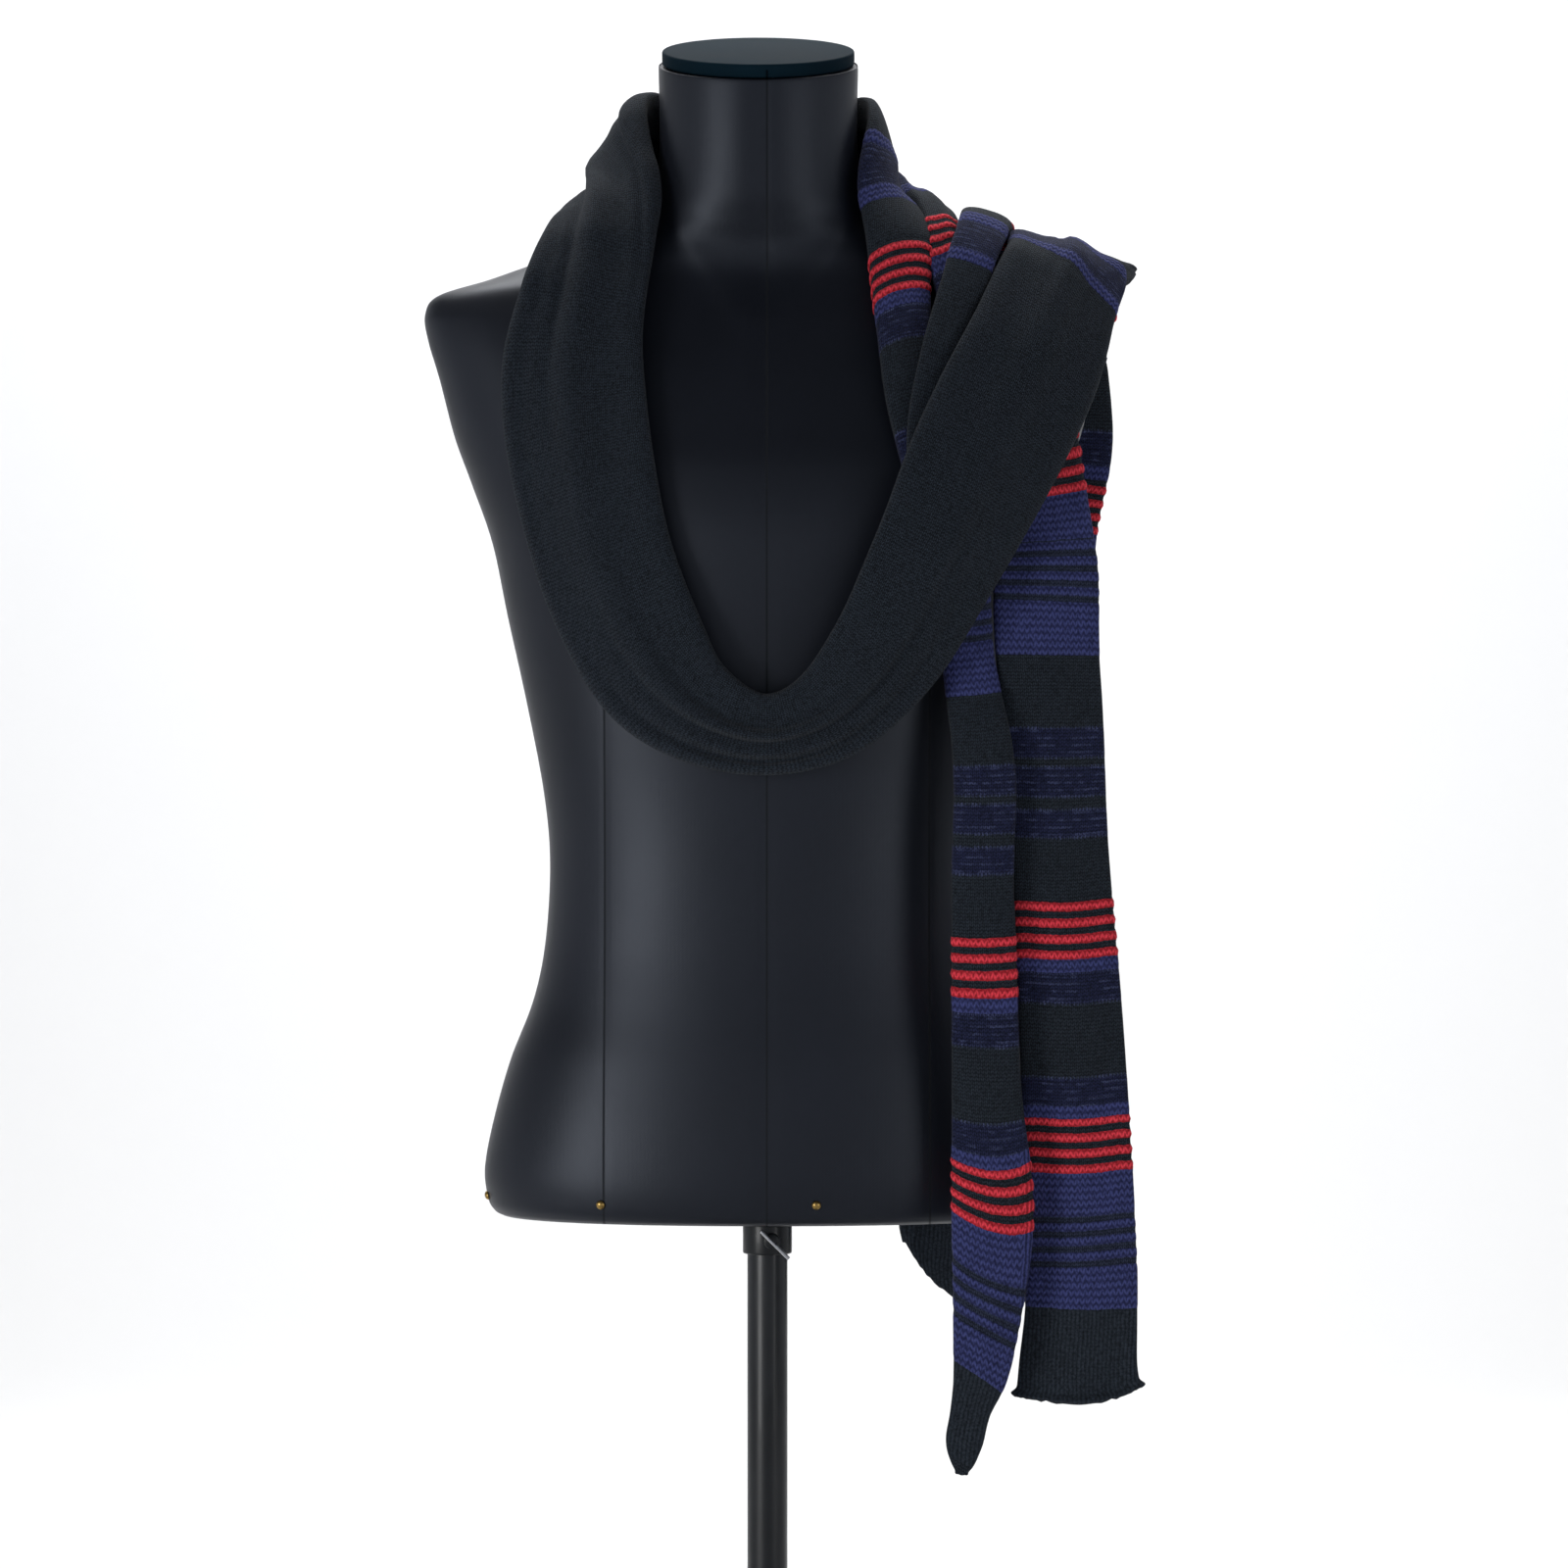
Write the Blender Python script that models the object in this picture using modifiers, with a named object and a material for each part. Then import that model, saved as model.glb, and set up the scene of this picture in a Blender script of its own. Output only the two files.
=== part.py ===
"""A long knitted scarf, wound once round the neck of a limbless dress form on its stand.

Metres, +Z up. The tables are in millimetres, with heights h counted from TORSO_HEIGHT, the top
of the pole's collar, which is just below the torso. The origin is the centre of the stand's foot,
on the floor. The form faces -Y, and the scarf's ends hang on its +X side. The cloth is one
knitted wall, folded lengthwise, so each stretch that shows is an oval with a slit down its
hidden side, carried along its own path.
"""

import math
from collections import namedtuple

import bmesh
import bpy
import numpy as np
from mathutils import Matrix, Vector

MM = 0.001
GAP = 0.3  # between pieces that meet
SEAM = 1.0  # that each stretch of cloth stops short of its end
TORSO_HEIGHT = 450.0  # of the pole collar's top above the floor

# The dress form's level rings, from its lower edge to the top of its neck.
# half: half its width; front and back: its depth each way from mid; square: 2 is an ellipse.
FormRow = namedtuple("FormRow", "h half front back mid lean square slope")
FORM = [
    FormRow(7, 176, 96, 104, 0, 0, 2.3, 0.0),
    FormRow(10, 181, 101, 109, 0, 0, 2.3, 0.0),
    FormRow(18, 185, 105, 113, 0, 0, 2.3, 0.0),
    FormRow(38, 187, 107, 114, 0, 0, 2.3, 0.0),
    FormRow(70, 181, 106, 111, 0, 0, 2.3, 0.0),
    FormRow(109, 170, 103, 106, 0, 0, 2.3, 0.0),
    FormRow(148, 155, 99, 99, 0, 0, 2.3, 0.0),
    FormRow(187, 147, 96, 93, 0, 0, 2.3, 0.0),
    FormRow(239, 144, 96, 90, 0, 0, 2.3, 0.0),
    FormRow(285, 148, 98, 92, 0, 0, 2.3, 0.0),
    FormRow(343, 159, 103, 98, 0, 0, 2.3, 0.0),
    FormRow(402, 172, 109, 106, 0, 0, 2.3, 0.0),
    FormRow(450, 182, 112, 113, 0, 0, 2.3, 0.0),
    FormRow(490, 196, 108, 116, 0, 0, 2.3, 0.0),
    FormRow(520, 207, 100, 114, 0, 0, 2.3, 0.0),
    FormRow(558, 217, 87, 106, 0, 0, 2.35, 0.0),
    FormRow(585, 225, 76, 95, 1, 0, 2.4, 0.0),
    FormRow(602, 227, 69, 84, 2, 0, 2.4, 0.0),
    FormRow(614, 219, 65, 76, 3, 0, 2.35, 0.0),
    FormRow(624, 186, 62, 69, 3, -1, 2.3, 0.0),
    FormRow(635, 153, 60, 64, 2, -3, 2.2, 0.02),
    FormRow(648, 112, 59, 61, 0, -5, 2.1, 0.05),
    FormRow(663, 84, 60, 61, -3, -6, 2.0, 0.08),
    FormRow(680, 70, 61, 61, -6, -6, 2.0, 0.12),
    FormRow(705, 65, 61, 61, -9, -6, 2.0, 0.18),
    FormRow(735, 64.5, 61.5, 61.5, -12, -6, 2.0, 0.25),
    FormRow(763, 65, 62, 62, -14, -6, 2.0, 0.31),
    FormRow(765, 64, 61, 61, -14, -6, 2.0, 0.31),
]
CAP_RADIUS = 63.5
CAP_THICK = 9.0
CAP_EDGE = 1.2
FORM_SIDES = 44

# The stand.
POLE_RADIUS = 13.3
COLLAR_RADIUS = 16.3
COLLAR_HEIGHT = 20.0
SCREW_RADIUS = 5.2
SCREW_REACH = 9.0
SCREW_SIDE = 3.0  # how far to the side of the pole's front it sits
BAR_RADIUS = 1.3
BAR_LENGTH = 26.0
BAR_TILT = 45.0
BAR_SIDE, BAR_DROP = 5.0, 2.0
FOOT_RADIUS = 150.0
FOOT_THICK = 10.0
HUB_RADIUS = 24.0
HUB_HEIGHT = 32.0
TACKS = 8
TACK_RADIUS = 3.0
TACK_HEIGHT = 2.2
TACK_LEVEL = 20.0
TACK_TURN = 0.22  # of the space between two, before the first
EDGE_ROW = 3  # the form's widest ring near its lower edge, where they sit

# The cloth.
WALL = 2.4
SLIT = 16.0  # half the slit's angle, seen from the middle of the section
CLEAR = 2.5  # least distance of the cloth's outer skin above the form
STEP = 0.5  # for slopes by differences
WALKS = 5  # steps that find the form's surface from a point near it
PULLS, PULL = 8, 0.5  # steps that settle the cloth, and the share of the way that each goes
SECTION_POINTS = 21
EDGE_ROUND = 0.8  # exponents of the oval section: across, and through its thickness
FACE_ROUND = 0.62

# A stretch's rows. x, y, h: the section's middle. half, bulge: half its width and thickness.
# lift: the middle's height above the form where hug is 1; where hug is 0 it hangs free, facing
# the way that face says, in degrees from the viewer's side (180 is the back). lean: how much
# lower the left edge lies than the middle, looking along the path, while the right edge is
# lowered half as much. Below zero, it is the right edge that is lowered more. pleat: the share
# of the pleats' depth there.
ClothRow = namedtuple("ClothRow", "x y h half bulge lift hug face lean pleat", defaults=(0, 1))
PATH = [  # over the nape, round the chest, over the right shoulder and down the back
    ClothRow(44, 66, 692, 46, 8, 14, 1.0, 0, 5),
    ClothRow(-6, 80, 698, 48, 9, 16, 1.0, 0, 7),
    ClothRow(-66, 56, 702, 47, 11, 26, 1.0, 0, 15),
    ClothRow(-98, 16, 704, 45, 13, 37, 0.9, 0, 22),
    ClothRow(-99, -28, 665, 39, 11, 25, 0.9, 0, 12),
    ClothRow(-116, -64, 610, 41, 10, 18, 0.95, 0),
    ClothRow(-127, -95, 555, 48, 9, 13, 1.0, 0),
    ClothRow(-121, -110, 490, 50, 9, 13, 1.0, 0),
    ClothRow(-105, -118, 424, 48, 9, 14, 1.0, 0),
    ClothRow(-76, -124, 366, 43, 9, 18, 0.9, 0),
    ClothRow(-42, -130, 335, 33, 9, 24, 0.8, 0),
    ClothRow(0, -134, 322, 26, 9, 28, 0.7, 0),
    ClothRow(42, -136, 336, 31, 9, 30, 0.7, 0),
    ClothRow(78, -136, 376, 38, 8, 34, 0.8, 0),
    ClothRow(108, -132, 432, 44, 8, 35, 0.85, 0),
    ClothRow(140, -122, 497, 51, 8, 36, 0.9, 0),
    ClothRow(169, -92, 562, 50, 8, 36, 0.9, 0),
    ClothRow(189, -52, 616, 44, 8, 27, 0.95, 0, -2),
    ClothRow(204, -8, 642, 43, 9, 20, 1.0, 0, -3, 0.6),
    ClothRow(208, 26, 641, 44, 9, 19, 1.0, 180, -2, 0),
    ClothRow(203, 48, 634, 48, 9, 19, 0.9, 180, 0, 0.3),
    ClothRow(194, 72, 615, 53, 9, 18, 0.3, 180, 0, 0.6),
    ClothRow(184, 93, 588, 57, 8, 16, 0.1, 180),
    ClothRow(182, 108, 535, 55, 8, 16, 0.0, 180),
    ClothRow(171, 121, 410, 51, 8, 16, 0.0, 180),
    ClothRow(163, 126, 200, 63, 8, 16, 0.0, 180),
    ClothRow(163, 127, 20, 70, 8, 16, 0.0, 180),
    ClothRow(166, 127, -68, 72, 8, 16, 0.0, 180),
]
NAPE_END, FALL_END, RISE_END = 3, 11, 19  # the rows where the loop's stretches end
BACK_END = len(PATH) - 1
ROLL = [
    ClothRow(145, 26, 655, 18, 8, 21, 0.9, 0),
    ClothRow(146, 2, 662, 18, 8, 23, 0.9, 0),
    ClothRow(139, -30, 648, 17, 8, 26, 0.9, 0),
    ClothRow(125, -62, 608, 15, 6, 28, 0.9, 0),
    ClothRow(107, -88, 563, 11, 5, 28, 0.9, 0),
    ClothRow(94, -105, 524, 6, 4, 24, 0.9, 0),
]
INNER = [
    ClothRow(51, 59, 718, 27, 7, 12, 1.0, 0, -4),
    ClothRow(75, 16, 712, 31, 7, 20, 1.0, 0, -14),
    ClothRow(81, -28, 682, 23, 7, 16, 1.0, 0, -8),
    ClothRow(85, -62, 636, 20, 7, 12, 1.0, 0),
    ClothRow(88, -82, 590, 18, 8, 12, 1.0, 0),
    ClothRow(94, -98, 535, 18, 8, 12, 1.0, 0),
    ClothRow(108, -104, 475, 18, 8, 13, 0.9, 0),
    ClothRow(124, -98, 420, 18, 8, 16, 0.5, 5),
    ClothRow(133, -101, 345, 18, 8, 20, 0.0, 5),
    ClothRow(138, -108, 228, 20, 8, 20, 0.0, 0),
    ClothRow(140, -114, 103, 22, 8, 20, 0.0, 0),
    ClothRow(144, -117, 15, 26, 8, 20, 0.0, 0),
    ClothRow(138, -117, -73, 19, 7, 20, 0.0, 0),
    ClothRow(130, -117, -118, 14, 6, 20, 0.0, 0),
    ClothRow(125, -117, -147, 7, 4, 20, 0.0, 0),
]
OUTER = [
    ClothRow(56, 62, 668, 22, 8, 13, 1.0, 0),
    ClothRow(98, 38, 697, 20, 8, 40, 1.0, 0),
    ClothRow(107, -6, 668, 14, 8, 25, 1.0, 0),
    ClothRow(117, -42, 622, 13, 7, 12, 1.0, 0),
    ClothRow(152, -66, 572, 37, 7, 12, 0.9, 0),
    ClothRow(171, -84, 512, 38, 7, 15, 0.4, 5),
    ClothRow(178, -86, 450, 35, 7, 18, 0.2, 10),
    ClothRow(181, -87, 370, 34, 7, 20, 0.0, 10),
    ClothRow(188, -90, 253, 32, 7, 20, 0.0, 8),
    ClothRow(196, -92, 127, 34, 7, 20, 0.0, 4),
    ClothRow(203, -94, 0, 36, 7, 20, 0.0, 0),
    ClothRow(200, -94, -102, 43, 7, 20, 0.0, 0),
]
LOOP_PLEATS = (2.0, 2.0)  # waves across the face, and their depth
ROLL_PLEATS = (0.0, 0.0)
WIDE_PLEATS = (1.5, 1.2)
BACK_PLEATS = (3.0, 4.5)
HEM_ROWS = 3  # the last rows, over which a hem's raised corner fades out


def clear_scene():
    for item in list(bpy.data.objects):
        bpy.data.objects.remove(item)


def material(name, colour, roughness, metallic=0.0):
    made = bpy.data.materials.new(name)
    made.use_nodes = True
    shader = made.node_tree.nodes["Principled BSDF"]
    shader.inputs["Base Color"].default_value = (*colour, 1.0)
    shader.inputs["Roughness"].default_value = roughness
    shader.inputs["Metallic"].default_value = metallic
    return made


def smooth_rows(rows, steps):
    """The rows with `steps` of them for each one given, on a Catmull-Rom curve through them."""
    given = np.array(rows, float)
    ends = np.vstack([2 * given[0] - given[1], given, 2 * given[-1] - given[-2]])
    t = np.linspace(0.0, 1.0, steps, endpoint=False)[:, None]
    out = []
    for a, b, c, d in zip(ends[:-3], ends[1:-2], ends[2:-1], ends[3:]):
        curve = (2 * a - 5 * b + 4 * c - d) * t**2 + (3 * b - a - 3 * c + d) * t**3
        out.append(0.5 * (2 * b + (c - a) * t + curve))
    return np.vstack(out + [given[-1:]])


def unit(vectors):
    return vectors / np.linalg.norm(vectors, axis=-1, keepdims=True)


FORM_FINE = smooth_rows(FORM, 4)


def form_ratio(points):
    """1 on the form's surface, less inside it and more outside, in ring sizes."""
    ring = [np.interp(points[..., 2], FORM_FINE[:, 0], FORM_FINE[:, k]) for k in range(1, 7)]
    half, front, back, mid, lean, square = ring
    y = points[..., 1] - mid
    depth = np.where(y < 0, front, back)
    across = np.abs((points[..., 0] - lean) / half) ** square
    return (across + np.abs(y / depth) ** square) ** (1 / square)


def ratio_slope(points):
    """How fast the ratio grows along X, Y and Z, by small differences."""
    ahead = [form_ratio(points + STEP * axis) for axis in np.eye(3)]
    behind = [form_ratio(points - STEP * axis) for axis in np.eye(3)]
    return (np.stack(ahead, axis=-1) - np.stack(behind, axis=-1)) / (2 * STEP)


def form_gap(points):
    """The distance of points from the form, and the way out from it, by walks to its surface."""
    foot = points
    for _ in range(WALKS):
        slope = ratio_slope(foot)
        size = np.maximum(np.linalg.norm(slope, axis=-1, keepdims=True), 1e-4)
        foot = foot - slope / size**2 * (form_ratio(foot)[..., None] - 1)
    way = slope / size
    gap = ((points - foot) * way).sum(-1, keepdims=True)
    return gap, way


def settle(points, lift, share):
    """Moves points towards `lift` above the form, by a share of the way, in a few short steps."""
    for _ in range(PULLS):
        gap, out = form_gap(points)
        points = points + out * (lift - gap) * share * PULL
    return points


def oval_section():
    """Across (-1 to 1) and outward (-1 to 1) places round an oval with a slit on its far side."""
    turn = np.radians(np.linspace(SLIT - 90, 270 - SLIT, SECTION_POINTS))[::-1]
    across = np.sign(np.cos(turn)) * np.abs(np.cos(turn)) ** EDGE_ROUND
    outward = np.sign(np.sin(turn)) * np.abs(np.sin(turn)) ** FACE_ROUND
    return across, outward


def cloth_points(rows, waves, depth):
    """A grid of points, section by section: the oval carried along the path over the form.

    waves and depth are the long pleats on its outer face: how many, and how deep.
    """
    middle, half, bulge = rows[:, :3], rows[:, 3, None], rows[:, 4, None]
    lift, hug, face = rows[:, 5, None], rows[:, 6, None], np.radians(rows[:, 7])
    lean = rows[:, 8, None, None]
    middle = settle(middle, lift, hug)
    free = np.stack([np.sin(face), -np.cos(face), 0 * face], axis=-1)
    out = unit(hug * form_gap(middle)[1] + (1 - hug) * free)
    along = unit(np.gradient(middle, axis=0))
    side = unit(np.cross(along, out))
    across, outward = oval_section()
    flat = middle[:, None] + side[:, None] * (half * across)[..., None]
    tip = lean * across[:, None]
    flat = settle(flat, lift[:, None] + np.minimum(tip, -tip / 2), hug[:, None])
    lifted = unit(
        hug[:, None] * form_gap(flat)[1] + (1 - hug)[:, None] * out[:, None]
    )
    pleat = depth * np.cos(math.pi * waves * across) * np.clip(outward, 0, 1) ** 2
    pleat = rows[:, 9, None] * pleat
    points = flat + lifted * (bulge * outward + pleat)[..., None]
    gap, away = form_gap(points)
    return points + away * np.maximum(0.0, CLEAR - gap)


def grid_mesh(name, points):
    """An open sheet through a grid of points in millimetres, its faces towards the viewer of it."""
    rows, columns = points.shape[:2]
    place = (points + [0, 0, TORSO_HEIGHT]) * MM
    index = np.arange(rows * columns).reshape(rows, columns)
    faces = np.stack(
        [index[:-1, :-1], index[:-1, 1:], index[1:, 1:], index[1:, :-1]], axis=-1
    )
    mesh = bpy.data.meshes.new(name)
    mesh.from_pydata(place.reshape(-1, 3).tolist(), [], faces.reshape(-1, 4).tolist())
    return mesh


def add(name, mesh, collection, finish):
    made = bpy.data.objects.new(name, mesh)
    made.data.materials.append(finish)
    collection.objects.link(made)
    return made


def cloth(name, rows, steps, collection, finish, pleats, part=None, corner=0.0):
    """One stretch of the folded scarf; part gives its first and last row of a longer path.

    pleats is (waves, depth). corner is how far the corner of the hem on the form's inner side
    is drawn up.
    """
    points = cloth_points(smooth_rows(rows, steps), *pleats)
    near_hem = np.clip(np.arange(len(points)) - len(points) + 1 + HEM_ROWS, 0, None) / HEM_ROWS
    inner = (points[..., 0].mean(1, keepdims=True) - points[..., 0]) / rows[-1].half
    points[..., 2] += corner * near_hem[:, None] * np.clip(inner, 0, 1) ** 3
    if part:
        points = points[part[0] * steps : part[1] * steps + 1]
    points[0] += unit(points[1] - points[0]) * SEAM
    points[-1] -= unit(points[-1] - points[-2]) * SEAM
    made = add(name, grid_mesh(name, points), collection, finish)
    wall = made.modifiers.new("wall", "SOLIDIFY")
    wall.thickness = WALL * MM
    wall.offset = -1.0
    made.data.shade_smooth()
    return made


def torso(collection, finish):
    """The form's rings, closed at the foot of the torso and at the top of the neck."""
    rings = np.array(FORM, float)
    turn = np.linspace(0, 2 * math.pi, FORM_SIDES, endpoint=False)
    h, half, front, back, mid, lean, square, slope = (rings[:, k, None] for k in range(8))
    x = np.sign(np.cos(turn)) * np.abs(np.cos(turn)) ** (2 / square) * half + lean
    y = np.sign(np.sin(turn)) * np.abs(np.sin(turn)) ** (2 / square)
    y = y * np.where(y < 0, front, back)
    points = np.stack([x, y + mid, h + slope * y], axis=-1)
    mesh = grid_mesh("torso", np.concatenate([points, points[:, :1]], axis=1))
    work = bmesh.new()
    work.from_mesh(mesh)
    bmesh.ops.remove_doubles(work, verts=work.verts, dist=0.01 * MM)
    bmesh.ops.holes_fill(work, edges=work.edges, sides=0)
    bmesh.ops.recalc_face_normals(work, faces=work.faces)
    work.to_mesh(mesh)
    work.free()
    made = add("torso", mesh, collection, finish)
    mesh.shade_smooth()
    return made


def turned(name, profile, sides, collection, finish, place=(0, 0, 0), tilt=None):
    """A round piece: its profile (radius, height) down the outer side, turned about its axis."""
    mesh = bpy.data.meshes.new(name)
    points = [(r * MM, 0, z * MM) for r, z in profile]
    mesh.from_pydata(points, [(k, k + 1) for k in range(len(points) - 1)], [])
    made = add(name, mesh, collection, finish)
    made.location = Vector(place) * MM
    if tilt:
        made.rotation_euler = tilt
    screw = made.modifiers.new("turn", "SCREW")
    screw.steps = screw.render_steps = sides
    screw.use_merge_vertices = True
    screw.merge_threshold = 0.00001
    return made


def disc_profile(radius, low, high, edge):
    """A disc's profile, from the axis at its top to the axis at its foot, with cut edges."""
    return [(0, high), (radius - edge, high), (radius, high - edge), (radius, low + edge),
            (radius - edge, low), (0, low)]


def stand(collection, steel, black):
    bottom = TORSO_HEIGHT
    torso_edge = TORSO_HEIGHT + FORM[0].h
    turned("foot_plate", disc_profile(FOOT_RADIUS, 0, FOOT_THICK, 2.0), 56, collection, black)
    hub_low, hub_high = FOOT_THICK + GAP, FOOT_THICK + HUB_HEIGHT
    bore = POLE_RADIUS + GAP
    hub = [(bore, hub_high), (HUB_RADIUS - 5, hub_high), (HUB_RADIUS, hub_high - 5),
           (HUB_RADIUS, hub_low), (bore, hub_low), (bore, hub_high)]
    turned("foot_hub", hub, 36, collection, black)
    pole_top = torso_edge - GAP
    turned("pole", disc_profile(POLE_RADIUS, hub_low, pole_top, 0.5), 32, collection, black)
    low, high = bottom - COLLAR_HEIGHT, bottom - GAP
    collar = [(bore, high), (COLLAR_RADIUS, high), (COLLAR_RADIUS, low + 1), (COLLAR_RADIUS - 1, low),
              (bore, low), (bore, high)]
    turned("pole_collar", collar, 32, collection, black)
    level = bottom - COLLAR_HEIGHT * 0.5
    front = -COLLAR_RADIUS - GAP
    head = disc_profile(SCREW_RADIUS, 0, SCREW_REACH, 1.0)
    turned("clamp_screw", head, 20, collection, black, (SCREW_SIDE, front, level), (math.pi / 2, 0, 0))
    bar = bpy.data.meshes.new("clamp_bar")
    work = bmesh.new()
    bmesh.ops.create_cone(
        work, cap_ends=True, segments=12, radius1=BAR_RADIUS * MM, radius2=BAR_RADIUS * MM,
        depth=BAR_LENGTH * MM,
    )
    work.to_mesh(bar)
    work.free()
    piece = add("clamp_bar", bar, collection, steel)
    bar_front = front - SCREW_REACH - GAP - BAR_RADIUS
    piece.location = Vector((BAR_SIDE, bar_front, level - BAR_DROP)) * MM
    piece.rotation_euler = (0, math.radians(-BAR_TILT), 0)


def neck_cap(collection, finish):
    top = FORM[-1]
    tilt = math.atan(top.slope)
    place = (top.lean, top.mid, TORSO_HEIGHT + top.h + 1.2)
    profile = disc_profile(CAP_RADIUS, 0, CAP_THICK, CAP_EDGE)
    turned("neck_cap", profile, 48, collection, finish, place, (tilt, 0, 0))


def tacks(collection, finish):
    """Small domed tacks that hold the cover round the torso's lower edge."""
    edge = FORM[EDGE_ROW]
    for k in range(TACKS):
        turn = 2 * math.pi * (k + TACK_TURN) / TACKS
        spot = np.array([edge.half * math.cos(turn), edge.back * math.sin(turn), TACK_LEVEL])
        spot = settle(spot, GAP, 1.0)
        out = Vector(form_gap(spot)[1])
        dome = [(0, TACK_HEIGHT), (TACK_RADIUS * 0.6, TACK_HEIGHT * 0.85),
                (TACK_RADIUS * 0.93, TACK_HEIGHT * 0.45), (TACK_RADIUS, 0), (0, 0)]
        made = turned(f"tack_{k + 1}", dome, 12, collection, finish)
        turn_out = out.to_track_quat("Z", "Y").to_matrix().to_4x4()
        place = Matrix.Translation((Vector(spot) + Vector((0, 0, TORSO_HEIGHT))) * MM)
        made.matrix_world = place @ turn_out


def main():
    clear_scene()
    parts = bpy.data.collections.new("scarf_on_dress_form")
    bpy.context.scene.collection.children.link(parts)
    cover = material("form_cover", (0.024, 0.028, 0.034), 0.62)
    black = material("black_metal", (0.02, 0.022, 0.025), 0.35, 0.6)
    steel = material("steel", (0.6, 0.6, 0.62), 0.25, 1.0)
    brass = material("brass", (0.55, 0.42, 0.2), 0.3, 1.0)
    knit = material("black_knit", (0.012, 0.015, 0.02), 0.95)
    stripes = material("striped_knit", (0.04, 0.045, 0.11), 0.95)
    torso(parts, cover)
    neck_cap(parts, cover)
    stand(parts, steel, black)
    tacks(parts, brass)
    cloth("scarf_nape", PATH, 2, parts, knit, LOOP_PLEATS, (0, NAPE_END))
    cloth("scarf_left_fall", PATH, 2, parts, knit, LOOP_PLEATS, (NAPE_END, FALL_END))
    cloth("scarf_right_rise", PATH, 2, parts, knit, LOOP_PLEATS, (FALL_END, RISE_END))
    cloth("scarf_shoulder_roll", ROLL, 2, parts, knit, ROLL_PLEATS)
    cloth("scarf_front_tail_narrow", INNER, 2, parts, stripes, ROLL_PLEATS)
    cloth("scarf_front_tail_wide", OUTER, 2, parts, stripes, WIDE_PLEATS)
    back = (RISE_END, BACK_END)
    cloth("scarf_back_tail", PATH, 2, parts, stripes, BACK_PLEATS, back, corner=45.0)


main()
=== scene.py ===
# %% [markdown]
# # A knitted scarf on a dress form
#
# A long knitted scarf is folded lengthwise, wound once round the neck of a limbless dress form,
# and one end is thrown back over a shoulder. Its middle is plain black; its ends carry navy
# bands and groups of raised red stripes. The frame that is loaded first fixes every size and
# place. This script could give those solids new materials, but they are coarse and smooth, so
# it makes the surfaces that show: fine cloth, its knitting, the form's seams.

# %% Load the fixed frame
import math
from collections import namedtuple

import bmesh
import bpy
import numpy as np
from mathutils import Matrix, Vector


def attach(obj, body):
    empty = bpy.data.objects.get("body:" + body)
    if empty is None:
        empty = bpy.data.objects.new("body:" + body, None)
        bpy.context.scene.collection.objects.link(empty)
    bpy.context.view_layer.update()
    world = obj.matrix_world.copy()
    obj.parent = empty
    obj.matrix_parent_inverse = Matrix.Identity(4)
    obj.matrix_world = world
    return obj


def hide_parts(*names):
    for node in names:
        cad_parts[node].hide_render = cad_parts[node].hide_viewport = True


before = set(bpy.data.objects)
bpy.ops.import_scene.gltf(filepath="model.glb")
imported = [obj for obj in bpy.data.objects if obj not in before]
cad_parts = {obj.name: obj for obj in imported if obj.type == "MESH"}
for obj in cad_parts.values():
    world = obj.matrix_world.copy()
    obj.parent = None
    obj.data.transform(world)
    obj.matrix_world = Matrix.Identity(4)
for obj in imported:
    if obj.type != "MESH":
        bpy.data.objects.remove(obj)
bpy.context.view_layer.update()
MM = 0.001

# %% [markdown]
# ## Camera, floor and light
#
# The object is shown as in a catalogue: level, almost without perspective, on white. A short
# lens would make the neck and the hems lean, so a long one stands three metres off. A floor and
# a wall could be two planes, but their joint would show, so one sheet bends up from floor to
# wall. Dark cloth shows its folds only by soft gloss on their edges: a broad key lamp from the
# front left gives it, a weaker one fills in, and two more lamps whiten the wall and the floor.

# %% Camera
VIEW_FROM = (0.011, -3.0, 0.741)
VIEW_WIDTH = 1.04  # metres seen across the plane of the pole
SENSOR = 36.0

lens = bpy.data.cameras.new("camera")
lens.sensor_width = SENSOR
lens.lens = SENSOR * abs(VIEW_FROM[1]) / VIEW_WIDTH
camera = bpy.data.objects.new("camera", lens)
camera.location = VIEW_FROM
camera.rotation_euler = (math.pi / 2, 0, 0)
bpy.context.scene.collection.objects.link(camera)
bpy.context.scene.camera = camera
print("camera: lens", round(lens.lens, 1), "mm")


# %% Meshes from grids of points
def weld(mesh):
    """Merges points that lie in one place, which closes poles and seams."""
    work = bmesh.new()
    work.from_mesh(mesh)
    bmesh.ops.remove_doubles(work, verts=work.verts, dist=0.001 * MM)
    work.to_mesh(mesh)
    work.free()


def grid_mesh(name, points, uv=None, around=False):
    """Quads through a grid of points (rows, columns, 3) in metres.

    around joins the last column to the first. uv holds a place in the pattern for each point.
    """
    rows, columns = points.shape[:2]
    index = np.arange(rows * columns).reshape(rows, columns)
    right = np.roll(index, -1, axis=1) if around else index[:, 1:]
    left = index if around else index[:, :-1]
    faces = np.stack([left[:-1], right[:-1], right[1:], left[1:]], axis=-1).reshape(-1, 4)
    mesh = bpy.data.meshes.new(name)
    mesh.from_pydata(points.reshape(-1, 3), [], faces)
    if around:
        weld(mesh)
    if uv is not None:
        layer = mesh.uv_layers.new(name="knit")
        layer.data.foreach_set("uv", uv.reshape(-1, 2)[faces.ravel()].astype(np.float32).ravel())
    mesh.shade_smooth()
    return mesh


def add_piece(name, mesh, finish):
    """Links a mesh, whose place is in its points, as an object with its finish."""
    made = bpy.data.objects.new(name, mesh)
    made.data.materials.append(finish)
    bpy.context.scene.collection.objects.link(made)
    return made


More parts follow.
